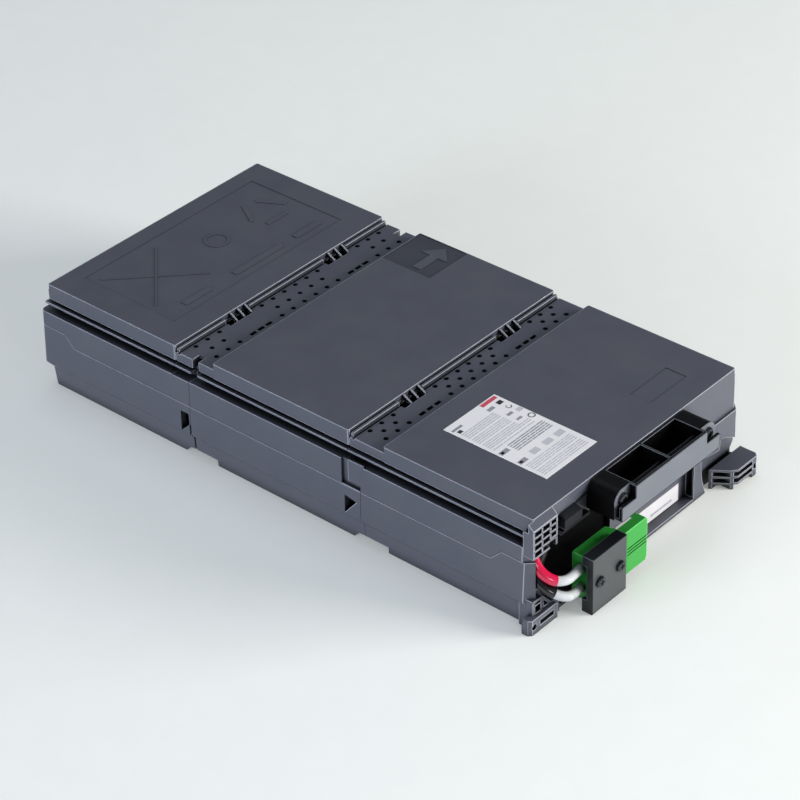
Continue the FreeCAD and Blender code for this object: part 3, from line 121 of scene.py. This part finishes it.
def moulded(name, colour, drift_colour, rough, grain_mm=0.35, grain=0.05, drift_mm=25, painted_shade_colour=None,
            shade_reach_mm=12, specular=0.5, coat=0.0):
    """A moulded or printed skin: slow colour drift, fine grain, and painted shade: a darker colour
    mixed in where ambient occlusion finds close surroundings.

    The grain is drawn coarser than the real texture of about 0.1 mm, so that it survives at the
    distance the part is seen from.
    """
    material = bpy.data.materials.new(name)
    material.use_nodes = True
    tree = material.node_tree
    skin = tree.nodes["Principled BSDF"]
    place = add(tree, "TexCoord").outputs["Object"]
    drift = add(tree, "TexNoise", {"Scale": 1 / (drift_mm * MM), "Detail": 4.0},
                {"Vector": place}).outputs["Fac"]
    fine = add(tree, "TexNoise", {"Scale": 1 / (grain_mm * MM), "Detail": 2.0, "Roughness": 0.6},
               {"Vector": place})
    spread = add(tree, "MapRange", {"From Min": DRIFT_SPAN[0], "From Max": DRIFT_SPAN[1]},
                 {"Value": drift}).outputs["Result"]
    tone = add(tree, "MixRGB", {"Color1": linear(colour), "Color2": linear(drift_colour)},
               {"Fac": spread}).outputs["Color"]
    # Painted shade: where the occlusion finds the surroundings close, the colour passes into the
    # painted shade colour
    if painted_shade_colour:
        open_sky = add(tree, "AmbientOcclusion", {"Distance": shade_reach_mm * MM},
                       samples=SKY_SAMPLES).outputs["AO"]
        depth = add(tree, "MapRange", {"From Min": PAINTED_SHADE_SPAN[0], "From Max": PAINTED_SHADE_SPAN[1]},
                    {"Value": open_sky}).outputs["Result"]
        tone = add(tree, "MixRGB", {"Color1": linear(painted_shade_colour)},
                   {"Fac": depth, "Color2": tone}).outputs["Color"]
    tree.links.new(tone, skin.inputs["Base Color"])
    dull = add(tree, "MapRange", {"From Min": POLISH_SPAN[0], "From Max": POLISH_SPAN[1],
                                  "To Min": rough - 0.04, "To Max": rough + 0.05}, {"Value": drift})
    tree.links.new(dull.outputs["Result"], skin.inputs["Roughness"])
    relief = add(tree, "Bump", {"Strength": grain, "Distance": GRAIN_HEIGHT * MM},
                 {"Height": fine.outputs["Fac"]})
    tree.links.new(relief.outputs["Normal"], skin.inputs["Normal"])
    skin.inputs["Specular IOR Level"].default_value = specular
    skin.inputs["Coat Weight"].default_value = coat
    skin.inputs["Coat Roughness"].default_value = COAT_ROUGHNESS
    return material


def plated(name, colour, rough, grain_mm=1.1):
    """A plated or tinned metal whose polish varies a little."""
    material = bpy.data.materials.new(name)
    material.use_nodes = True
    tree = material.node_tree
    skin = tree.nodes["Principled BSDF"]
    place = add(tree, "TexCoord").outputs["Object"]
    fine = add(tree, "TexNoise", {"Scale": 1 / (grain_mm * MM), "Detail": 3.0}, {"Vector": place})
    polish = add(tree, "MapRange", {"From Min": POLISH_SPAN[0], "From Max": POLISH_SPAN[1],
                                    "To Min": rough - 0.08, "To Max": rough + 0.1},
                 {"Value": fine.outputs["Fac"]})
    tree.links.new(polish.outputs["Result"], skin.inputs["Roughness"])
    skin.inputs["Base Color"].default_value = linear(colour)
    skin.inputs["Metallic"].default_value = 1.0
    return material


# Spark-textured ABS: a slate grey skin with a soft sheen, with painted shade near black in its deep
# pockets
abs_shell = moulded("spark_textured_abs", "4d505c", "52555f", 0.40, painted_shade_colour="08080b", specular=0.62)
# Painted shade: the same ABS painted near black on the hooks' cheeks and under the hood, where
# neighbouring parts shade it
abs_hook = moulded("abs_painted_shade_near_black", "1a1b20", "1e1f24", 0.45, painted_shade_colour="050506", specular=0.3)
# ABS from a polished patch in the mould: smooth, and darker to the eye
abs_smooth = moulded("smooth_abs_panel", "3c3f49", "40434d", 0.34, painted_shade_colour="08080b")
# Painted highlight: ABS painted pale on the beads over its moulded edges, which draws their thin
# bright lines
abs_edge = moulded("abs_edge_painted_highlight", "9699a4", "a0a3ae", 0.30, painted_shade_colour="26272d", shade_reach_mm=10)
# Glass-filled nylon: black and dull
nylon_handle = moulded("black_glass_filled_nylon", "060607", "0a0a0c", 0.42, painted_shade_colour="020203",
                       specular=0.15)
# Painted highlight: nylon painted grey on the beads along its edges
nylon_edge = moulded("nylon_edge_painted_highlight", "55585f", "62656c", 0.30, painted_shade_colour="0d0e10", shade_reach_mm=10)
# Painted light: the grip's broad front, the same black nylon painted lit to the grey of the shell
nylon_face = moulded("nylon_face_painted_light", "5f636d", "666a74", 0.38, painted_shade_colour="1a1b1e", shade_reach_mm=8,
                     specular=0.6)
# Unfilled nylon of the connector's cap: black with a low sheen
cap_side = moulded("black_nylon_cap", "16181c", "1b1d21", 0.36, painted_shade_colour="050506", specular=0.3)
# Painted light: the cap's front, the same nylon painted lit to a grey sheen
cap_face = moulded("nylon_cap_face_painted_light", "3d4044", "434649", 0.34, painted_shade_colour="1c1d20", shade_reach_mm=8)
# Painted shade: the battery case's ABS set flat black, so that the inside seen through the openings
# stays as dark as shade
abs_case = moulded("battery_abs_painted_shade_black", "050506", "08080a", 0.70, painted_shade_colour="010102", specular=0.12)
# Polycarbonate of the power connector: leaf green, with painted shade dark between its blocks
green_housing = moulded("green_polycarbonate", "2f9438", "359a3f", 0.30, grain=0.02,
                        painted_shade_colour="04300a", specular=0.4)
# Painted highlight: the same polycarbonate painted paler on the beads along its edges
green_edge = moulded("polycarbonate_edge_painted_highlight", "5cc465", "66cc6e", 0.26, grain=0.0,
                     painted_shade_colour="1a7024")
# Metals: dark zinc on the screws, dull grey tin on the terminals, warm silver on the contacts
steel = plated("black_zinc_plated_steel", "55565b", 0.30)
tin = plated("tinned_brass", "b8b0a0", 0.35)
copper = plated("silver_plated_copper", "c8b48c", 0.30)
# Polyester label film: white and slightly glossy; the front one is a greyer copy, painted shade
# against the stronger front lamp
film = moulded("white_polyester_film", "efeff2", "f3f3f5", 0.42, grain_mm=0.6, grain=0.02)
film_grey = moulded("polyester_film_painted_shade_grey", "c2c2c8", "c8c8cd", 0.42, grain_mm=0.6, grain=0.02)
# Inks: flat, without grain; small print reads as pale and middle greys
ink_pale = moulded("pale_grey_ink", "c2c3cc", "cbccd4", 0.50, grain=0.0)
ink_grey = moulded("grey_ink", "8e9099", "9b9da6", 0.50, grain=0.0)
ink_dark = moulded("black_ink", "2c2d32", "3a3b40", 0.50, grain=0.0)
ink_red = moulded("red_ink", "c9485a", "d45768", 0.50, grain=0.0)
# PVC lead insulation: smooth and shiny
pvc_grey = moulded("grey_pvc_lead", "b4babf", "bfc4c8", 0.16, grain=0.0, painted_shade_colour="1a1c1f",
                   shade_reach_mm=9, coat=0.5)
pvc_red = moulded("crimson_pvc_sleeve", "c4123f", "d01a48", 0.16, grain=0.0, painted_shade_colour="2c0410",
                  shade_reach_mm=9, coat=0.5)
pvc_black = moulded("black_pvc_sleeve", "101114", "15161a", 0.18, grain=0.0, coat=0.4)
# Closed-cell foam: black, and rough enough to show no highlight
foam = moulded("black_closed_cell_foam", "161618", "1c1c1e", 0.90, grain_mm=0.5, grain=0.4,
               specular=0.2)

FINISH = {"shell": (abs_shell,), "handle": (nylon_handle, nylon_face),
          "battery_case": (abs_case,), "terminal_metal": (tin,), "label": (film,),
          "screw_steel": (steel,), "connector_green": (green_housing,),
          "contact_copper": (copper,), "foam": (foam,), "wire_red": (pvc_red,),
          "wire_black": (pvc_black,)}
# The painted-highlight material and the width of the rounded edges on the finishes that have them
EDGES = {"shell": (abs_edge, 0.42), "handle": (nylon_edge, 0.42),
         "connector_green": (green_edge, 0.5)}
slot_of = {part["node"]: part["material_slot"] for part in frame["record"]["subparts"]}


def new_piece(name, data, slot_name, *replaced):
    """A piece on the root body, which hides the CAD nodes that it stands for; its slot name is not
    used.
    """
    obj = bpy.data.objects.new(name, data)
    scene.collection.objects.link(obj)
    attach(obj, "root")
    if replaced:
        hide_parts(*replaced)
    return obj


# ---- leads ---------------------------------------------------------------------------------------
LEAD = 7.0                         # outer diameter
SLEEVE_WALL = 0.35
SLEEVE_SHARE = 0.66                # how much of a lead its sleeve covers
POSITIVE = [(-102.3, -225.8, 66.5), (-102.3, -225.8, 58.7), (-108.2, -226, 53.2),
            (-108.8, -229.8, 46.5), (-108.2, -236.2, 41.5), (-104.5, -242.6, 37.8),
            (-97.3, -246.4, 36.2), (-87, -244, 33.6), (-77, -242.6, 32.7)]
NEGATIVE = [(-95.1, -225.8, 66.5), (-95.1, -225.8, 57.8), (-98.6, -225.8, 49.3),
            (-104.8, -225.8, 41.5), (-108.4, -229.8, 35.5), (-107.8, -237, 30.8),
            (-104, -243.5, 26.4), (-97, -247, 22.3), (-87, -244.5, 17.8), (-77, -242.6, 16.7)]


def smooth_line(name, route):
    """A smooth line in metres with the route's points as its control points."""
    curve = bpy.data.curves.new(name, "CURVE")
    curve.dimensions = "3D"
    curve.resolution_u = 12
    spline = curve.splines.new("NURBS")
    spline.points.add(len(route) - 1)
    for point, place in zip(spline.points, route):
        point.co = [c * MM for c in place] + [1.0]
    spline.order_u = 3
    spline.use_endpoint_u = True
    return curve


def round_piece(name, curve, radius, material, slot_name, *replaced):
    """A piece made by giving a line a round section."""
    curve.bevel_depth = radius * MM
    curve.bevel_resolution = 6
    curve.use_fill_caps = True
    curve.materials.append(material)
    return new_piece(name, curve, slot_name, *replaced)


def lead(name, route, material, slot_name, cad_node):
    """The insulated lead in place of its solid."""
    return round_piece(name, smooth_line(name, route), LEAD / 2, material, slot_name, cad_node)


def sleeve(name, route, material, slot_name):
    """An outer sleeve over the first share of a lead, along the lead's own line."""
    holder = bpy.data.objects.new(name + "_line", smooth_line(name + "_line", route))
    points = [vertex.co.copy() for vertex in bpy.data.meshes.new_from_object(holder).vertices]
    bpy.data.objects.remove(holder)
    points = points[:round(len(points) * SLEEVE_SHARE)]
    curve = bpy.data.curves.new(name, "CURVE")
    curve.dimensions = "3D"
    spline = curve.splines.new("POLY")
    spline.points.add(len(points) - 1)
    for point, place in zip(spline.points, points):
        point.co = [*place, 1.0]
    return round_piece(name, curve, LEAD / 2 + SLEEVE_WALL, material, slot_name)


positive = lead("positive_lead_wire", POSITIVE, pvc_grey, "wire_red", "positive_lead")
negative = lead("negative_lead_wire", NEGATIVE, pvc_grey, "wire_black", "negative_lead")
red_sleeve = sleeve("positive_lead_sleeve", POSITIVE, pvc_red, "wire_red")
black_sleeve = sleeve("negative_lead_sleeve", NEGATIVE, pvc_black, "wire_black")
[c * MM for c in POSITIVE[0]]
[c * MM for c in NEGATIVE[0]]


# ---- the solids' finishes ------------------------------------------------------------------------
SMOOTH_ANGLE = 25                  # degrees: the solids' skins are smooth across flatter edges
WELD = 0.002                       # vertices nearer than this are one corner of a solid


def smooth_by_angle(limit):
    """Modifier nodes that shade smooth across edges flatter than the limit, and sharp elsewhere."""
    tree = bpy.data.node_groups.new("smooth_by_angle", "GeometryNodeTree")
    for side in ("INPUT", "OUTPUT"):
        tree.interface.new_socket("Geometry", in_out=side, socket_type="NodeSocketGeometry")
    source = add(tree, "NodeGroupInput")
    angle = add(tree, "GeometryNodeInputMeshEdgeAngle")
    flat = add(tree, "FunctionNodeCompare", {"B": math.radians(limit)},
               {"A": angle.outputs["Unsigned Angle"]}, operation="LESS_THAN")
    faces = add(tree, "GeometryNodeSetShadeSmooth", {},
                {"Geometry": source.outputs["Geometry"]}, domain="FACE")
    edges = add(tree, "GeometryNodeSetShadeSmooth", {},
                {"Geometry": faces.outputs["Geometry"], "Shade Smooth": flat.outputs["Result"]},
                domain="EDGE")
    add(tree, "NodeGroupOutput", {}, {"Geometry": edges.outputs["Geometry"]})
    return tree


SMOOTHING = smooth_by_angle(SMOOTH_ANGLE)


def smooth_skin(obj):
    """One joined skin, smooth over its curves and true over its flats."""
    obj.modifiers.new("joined", "WELD").merge_threshold = WELD * MM
    obj.modifiers.new("shading", "NODES").node_group = SMOOTHING
    obj.modifiers.new("flats", "WEIGHTED_NORMAL").keep_sharp = True


def dress(obj, materials):
    """The solid's materials, with the first one on every face."""
    obj.data.materials.clear()
    for material in materials:
        obj.data.materials.append(material)
    for face in obj.data.polygons:
        face.material_index = 0


def repaint(obj, index, chosen):
    """The material with this index on the faces chosen by normal and by centre in millimetres."""
    for face in obj.data.polygons:
        if chosen(face.normal, face.center / MM):
            face.material_index = index


def within(point, limits):
    """Whether a point is inside limits on x, y and z in its own unit."""
    return all(a < c < b for c, (a, b) in zip(point, limits))


# ---- rounded edges -------------------------------------------------------------------------------
FLAT_ANGLE = 0.8                   # degrees: faces that meet flatter than this are one flat side
ROUND_ANGLE = 40                   # degrees: an outer edge that turns less stays plain
ROOM = 2.05                        # bead widths of flat that a rounded edge needs on each side
BEAD_LIFT = 0.02                   # how far a bead stands over the solid
BEAD_ROOT = 0.25                   # bead widths that a bead reaches into the solid
FOOT = 0.5                         # edges lower than this lie on the ground
BAND_Z, BAND_REACH = 83.3, 112     # the slotted bands' height, and their half width
BAND_SPREAD = 0.2
SLOT = 6.2                         # the longest edge of the bands' slots
SIDE_TOP = 66                      # height of the trays' sides, outside BAND_REACH
JOINT_REACH = 220                  # the joints between trays lie this near to the middle
UPRIGHT = 0.9                      # share of an upright edge's length that is height
OPENING, OPENING_REACH = 16, 200   # the sides' small openings: longest edge, and how far out
# The hood over the leads: the corners whose edges stay plain, and the faces in its shade
HOOD_CORNERS = ((-90, -55), (-300, -230.4), (62, 79))
HOOD_FACES = ((-90, -55), (-300, -230.5), (0, 79))


def stays_plain(edge):
    """Whether an edge is a foot, a joint or small opening in a side, the hood's, or a slot's."""
    ends = [[c / MM for c in vertex.co] for vertex in edge.verts]
    length = edge.calc_length() / MM
    if all(z < FOOT for x, y, z in ends) or all(within(end, HOOD_CORNERS) for end in ends):
        return True
    if all(abs(x) > BAND_REACH and z < SIDE_TOP for x, y, z in ends):
        out, upright = abs(ends[0][1]), abs(ends[1][2] - ends[0][2]) > UPRIGHT * length
        if upright and out < JOINT_REACH or length < OPENING and out < OPENING_REACH:
            return True
    on_band = all(abs(z - BAND_Z) < BAND_SPREAD and abs(x) < BAND_REACH for x, y, z in ends)
    return on_band and length < SLOT


def flat_sides(mesh):
    """For each face, the vertices of the whole flat side that it belongs to."""
    flat_of = {}
    for first in mesh.faces:
        if first.index in flat_of:
            continue
        flat, waiting = set(), [first]
        flat_of[first.index] = flat
        while waiting:
            face = waiting.pop()
            flat.update(face.verts)
            for edge in face.edges:
                for other in edge.link_faces:
                    level_with = edge.calc_face_angle(0) < math.radians(FLAT_ANGLE)
                    if other.index not in flat_of and level_with:
                        flat_of[other.index] = flat
                        waiting.append(other)
    return flat_of


def outer_edges(mesh, room):
    """Outer edges to be rounded, whose two flat sides both reach further than room in metres."""
    flat_of = flat_sides(mesh)
    for edge in mesh.edges:
        if len(edge.link_faces) != 2 or stays_plain(edge):
            continue
        if edge.calc_face_angle_signed(0) < math.radians(ROUND_ANGLE):
            continue
        start = edge.verts[0].co
        along = (edge.verts[1].co - start).normalized()
        if all(max((vertex.co - start).cross(along).length for vertex in flat_of[face.index]) > room
               for face in edge.link_faces):
            yield edge, along


def rounded_edges(obj, material, width_mm, slot_name):
    """A slim rounded bead over each outer edge, smooth from one side of the edge to the other."""
    solid = bmesh.new()
    solid.from_mesh(obj.data)
    bmesh.ops.remove_doubles(solid, verts=solid.verts, dist=WELD * MM)
    solid.faces.index_update()
    width, lift = width_mm * MM, BEAD_LIFT * MM
    beads = bmesh.new()
    for edge, along in outer_edges(solid, ROOM * width):
        normals, inward = [], []
        for face in edge.link_faces:
            side = face.normal.cross(along)
            middle = face.calc_center_median() - edge.verts[0].co
            normals.append(face.normal.copy())
            inward.append(side if side.dot(middle) > 0 else -side)
        rows = []
        for vertex in edge.verts:
            end = vertex.co
            section = [end + inward[0] * width + normals[0] * lift,
                       end + (normals[0] + normals[1]) * lift,
                       end + inward[1] * width + normals[1] * lift,
                       end + (inward[0] + inward[1]) * width * BEAD_ROOT]
            rows.append([beads.verts.new([min(max(c, a), b) for c, a, b in zip(point, *cad_box)])
                         for point in section])
        for k in range(4):
            corners = (rows[0][k], rows[1][k], rows[1][k - 3], rows[0][k - 3])
            beads.faces.new(corners).smooth = True
        beads.faces.new(rows[0])
        beads.faces.new(rows[1][::-1])
        crest = beads.edges.get((rows[0][1], rows[1][1]))
        lines = {line for row in rows for corner in row for line in corner.link_edges}
        for line in lines - {crest}:
            line.smooth = False
    bmesh.ops.recalc_face_normals(beads, faces=beads.faces)
    mesh = bpy.data.meshes.new(obj.name + "_edges")
    beads.to_mesh(mesh)
    beads.free()
    solid.free()
    mesh.materials.append(material)
    return new_piece(mesh.name, mesh, slot_name)


for name, node in nodes.items():
    dress(node, FINISH[slot_of[name]])
    smooth_skin(node)
# Each solid's outer edges get beads in its painted-highlight material
for name, node in nodes.items():
    if slot_of[name] in EDGES:
        rounded_edges(node, *EDGES[slot_of[name]], slot_of[name])


# ---- faces that differ from the rest of their solid: the arrow's panel, and painted light and shade ---
SQUARE_ON = 0.9                    # share of a normal along an axis for a face that looks that way
HOOK_X, HOOK_Z = (41, 65), 76      # the hooks lie between these distances from the middle, above Z
PANEL_Z = (87.5, 87.9)             # the sunk panel round the arrow
GRIP_FRONT, CAP_FRONT = -250, -254

# Painted shade: the hooks' cheeks take the near-black copy of the shell
for name in ("cover_middle", "cover_rear"):
    dress(nodes[name], (abs_shell, abs_hook, abs_smooth))
    repaint(nodes[name], 1, lambda normal, centre: abs(normal.x) > SQUARE_ON and centre.z > HOOK_Z
            and HOOK_X[0] < abs(centre.x) < HOOK_X[1])
repaint(nodes["cover_middle"], 2, lambda normal, centre: normal.z > SQUARE_ON
        and PANEL_Z[0] < centre.z < PANEL_Z[1])
# Painted shade: the faces under the hood take the same near-black copy
dress(nodes["cover_front"], (abs_shell, abs_hook))
repaint(nodes["cover_front"], 1, lambda normal, centre: within(centre, HOOD_FACES))
# Painted light: the grip's front faces take the grey lit copy of the black nylon
repaint(nodes["pull_handle"], 1, lambda normal, centre: normal.y < -SQUARE_ON
        and centre.y < GRIP_FRONT)
# Painted light: the cap's front faces take the grey lit copy of the cap's nylon
dress(nodes["connector_cap"], (cap_side, cap_face))
repaint(nodes["connector_cap"], 1, lambda normal, centre: normal.y < -SQUARE_ON
        and centre.y < CAP_FRONT)


# ---- print on the labels -------------------------------------------------------------------------
# Places on a label are shares of its width from the left and of its length from the top. The print
# is bars, rings and rows of dashes, and spells nothing.
FILM_INSET = 0.04                  # how far a film's face lies behind its label's solid
PRINT_INSET = 0.01                 # how far the print lies behind it
TOP_LABEL = (54.5, 90)             # width and length of the top label, which keep the rings round
PALE, GREY, DARK, RED = range(4)
TOP_INKS = (ink_pale, ink_grey, ink_dark, ink_red)
GAP = 0.25                         # the gap between dashes, in the unit of WORDS
WORDS = [(3, 2, 4, 1, 3, 2), (2, 4, 2, 3, 1, 2), (4, 1, 3, 2, 3, 3), (1, 3, 3, 4, 2),
         (3, 3, 1, 2, 4, 1)]       # the dashes' relative lengths in five kinds of row
PARAGRAPH = 0.012                  # the extra gap after every fourth row


def bar(u0, v0, u1, v1, ink):
    """A printed bar between two corners."""
    return [(u0, v0), (u1, v0), (u1, v1), (u0, v1)], ink


def ring(u, v, radius, sweep=1.0):
    """Quads of a printed ring, or of the first part of one, on the top label."""
    out = []
    steps = 24
    for i in range(round(steps * sweep)):
        a, b = 2 * math.pi * i / steps, 2 * math.pi * (i + 1) / steps
        corners = [(math.cos(t) * r, math.sin(t) * r)
                   for t, r in ((a, 0.7), (a, 1.0), (b, 1.0), (b, 0.7))]
        out.append(([(u + x * radius / TOP_LABEL[0], v + y * radius / TOP_LABEL[1])
                     for x, y in corners], DARK))
    return out


def row(v, height, u0, u1, words, ink):
    """A row of printed dashes between u0 and u1, broken by short gaps."""
    out = []
    total = sum(words) + GAP * (len(words) - 1)
    at = u0
    for word in words:
        size = (u1 - u0) * word / total
        out.append(bar(at, v, at + size, v + height, ink))
        at += size + (u1 - u0) * GAP / total
    return out


def rows_of(count, v, pitch, height, u0, u1, first_words, ink, paragraph=0.0):
    """Rows of dashes for the numbers in count, below v."""
    out = []
    for i in count:
        out += row(v + pitch * i + paragraph * (i // 4), height, u0, u1,
                   WORDS[(i + first_words) % len(WORDS)], ink)
    return out


def printed(name, shapes, inks, place):
    """One mesh of flat printed shapes; place gives a corner's spot in metres from its shares."""
    mesh = bpy.data.meshes.new(name)
    points, faces, kinds = [], [], []
    for corners, ink in shapes:
        start = len(points)
        points += [place(u, v) for u, v in corners]
        faces.append(tuple(range(start, start + len(corners))))
        kinds.append(ink)
    mesh.from_pydata(points, [], faces)
    for ink in inks:
        mesh.materials.append(ink)
    for face, kind in zip(mesh.polygons, kinds):
        face.material_index = kind
    return new_piece(name, mesh, "label")


def plate(name, corner_low, corner_high, material, *replaced):
    """A thin film between two corners, which may stand in place of a label's solid."""
    mesh = bpy.data.meshes.new(name)
    (x0, y0, z0), (x1, y1, z1) = corner_low, corner_high
    mesh.from_pydata([(x, y, z) for x in (x0, x1) for y in (y0, y1) for z in (z0, z1)], [],
                     [(0, 1, 3, 2), (4, 6, 7, 5), (0, 4, 5, 1), (2, 3, 7, 6), (0, 2, 6, 4),
                      (1, 5, 7, 3)])
    mesh.materials.append(material)
    return new_piece(name, mesh, "label", *replaced)


top_print = [bar(0.68, 0.012, 0.97, 0.05, RED), bar(0.86, 0.08, 0.95, 0.125, DARK),
             bar(0.03, 0.06, 0.22, 0.085, GREY), bar(0.06, 0.10, 0.13, 0.135, DARK),
             bar(0.66, 0.09, 0.78, 0.125, GREY), bar(0.90, 0.255, 0.99, 0.30, PALE),
             bar(0.74, 0.245, 0.84, 0.275, GREY), bar(0.74, 0.34, 0.84, 0.365, GREY)]
top_print += ring(0.91, 0.19, 2.3, 0.7) + ring(0.94, 0.40, 2.9)
top_print += rows_of(range(10), 0.150, 0.023, 0.011, 0.05, 0.68, 0, PALE, PARAGRAPH)
top_print += rows_of(range(10, 13), 0.150, 0.023, 0.011, 0.05, 0.86, 0, PALE, PARAGRAPH)
top_print += rows_of(range(5), 0.505, 0.024, 0.012, 0.24, 0.93, 2, GREY)
top_print += [bar(0.03, 0.52, 0.19, 0.565, GREY), bar(0.03, 0.70, 0.18, 0.745, GREY),
              bar(0.05, 0.53, 0.10, 0.555, DARK), bar(0.05, 0.71, 0.10, 0.735, DARK),
              bar(0.30, 0.68, 0.44, 0.74, PALE), bar(0.55, 0.68, 0.70, 0.74, PALE),
              bar(0.78, 0.68, 0.93, 0.74, PALE)]
top_print += rows_of(range(8), 0.775, 0.023, 0.010, 0.05, 0.92, 1, PALE, PARAGRAPH)

low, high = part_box("top_label")
size = [b - a for a, b in zip(low, high)]
plate("top_label_film", low, (high[0], high[1], high[2] - FILM_INSET * MM), film, "top_label")
printed("top_label_print", top_print, TOP_INKS, lambda u, v: (
    low[0] + size[0] * u, high[1] - size[1] * v, high[2] - PRINT_INSET * MM))

front_print = row(0.36, 0.10, 0.30, 0.80, WORDS[0], PALE)
front_print += row(0.62, 0.14, 0.42, 0.86, WORDS[1], GREY)
low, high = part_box("front_label")
size = [b - a for a, b in zip(low, high)]
# The front label's film is the greyer copy: painted shade against the stronger front lamp
plate("front_label_film", (low[0], low[1] + FILM_INSET * MM, low[2]), high, film_grey,
      "front_label")
printed("front_label_print", front_print, TOP_INKS[:2], lambda u, v: (
    low[0] + size[0] * u, low[1] + PRINT_INSET * MM, high[2] - size[2] * v))

# Painted highlight: a pale strip of film along the rear of the connector's mating end, in place of
# the glint on its edge
STRIP_LOW, STRIP_HIGH = (-39.2, -243.2, 42.7), (-22.6, -241.2, 42.75)
plate("connector_painted_highlight_strip", [c * MM for c in STRIP_LOW], [c * MM for c in STRIP_HIGH], film)


# ---- floor and light -----------------------------------------------------------------------------
FLOOR_GLOW = 0.22                  # the floor's own light, seen but lighting nothing diffuse
WORLD_STRENGTH = 0.24

bpy.ops.mesh.primitive_plane_add(size=14, location=(0, 0, 0))
floor = bpy.context.object
floor.name = "studio_floor"
paint = moulded("studio_floor_paint", "e2e6e4", "e4e8e6", 0.80, grain_mm=3, grain=0.01,
                specular=0.2)
tree = paint.node_tree
path = add(tree, "LightPath")
seen = add(tree, "Math", {}, {0: path.outputs["Is Camera Ray"], 1: path.outputs["Is Glossy Ray"]},
           operation="MAXIMUM")
seen = add(tree, "Math", {}, {0: seen.outputs[0], 1: path.outputs["Is Transmission Ray"]},
           operation="MAXIMUM")
glow = add(tree, "Math", {1: FLOOR_GLOW}, {0: seen.outputs[0]}, operation="MULTIPLY")
skin = tree.nodes["Principled BSDF"]
skin.inputs["Emission Color"].default_value = linear("eef3f0")
tree.links.new(glow.outputs[0], skin.inputs["Emission Strength"])
floor.data.materials.append(paint)

world = bpy.data.worlds.new("studio")
scene.world = world
world.use_nodes = True
background = world.node_tree.nodes["Background"]
background.inputs["Color"].default_value = linear("dfe6ee")
background.inputs["Strength"].default_value = WORLD_STRENGTH


def softbox(name, place, target, size, power, colour, mirrored):
    """A soft lamp, with metres and watts; mirrored says whether shiny faces reflect it."""
    data = bpy.data.lights.new(name, "AREA")
    data.shape = "RECTANGLE"
    data.size, data.size_y = size
    data.energy = power
    data.color = linear(colour)[:3]
    obj = bpy.data.objects.new(name, data)
    obj.location = place
    obj.rotation_euler = (Vector(target) - Vector(place)).to_track_quat("-Z", "Y").to_euler()
    obj.visible_glossy = mirrored
    scene.collection.objects.link(obj)


softbox("front_light", (1.3, -2.1, 0.62), (0, -0.2, 0.05), (1.4, 0.9), 98, "fffaf4", False)
softbox("side_light", (-2.4, 0.3, 0.62), (0, 0, 0.05), (1.6, 0.9), 42, "e8efff", False)
softbox("spark_light", (-0.55, -0.95, 0.42), (-0.08, -0.24, 0.04), (0.16, 0.16), 0.9, "ffffff",
        True)
softbox("top_light", (0.3, 0.6, 2.6), (0, 0, 0.05), (1.8, 1.8), 12, "f4f8ff", True)

scene.view_settings.view_transform = "Standard"
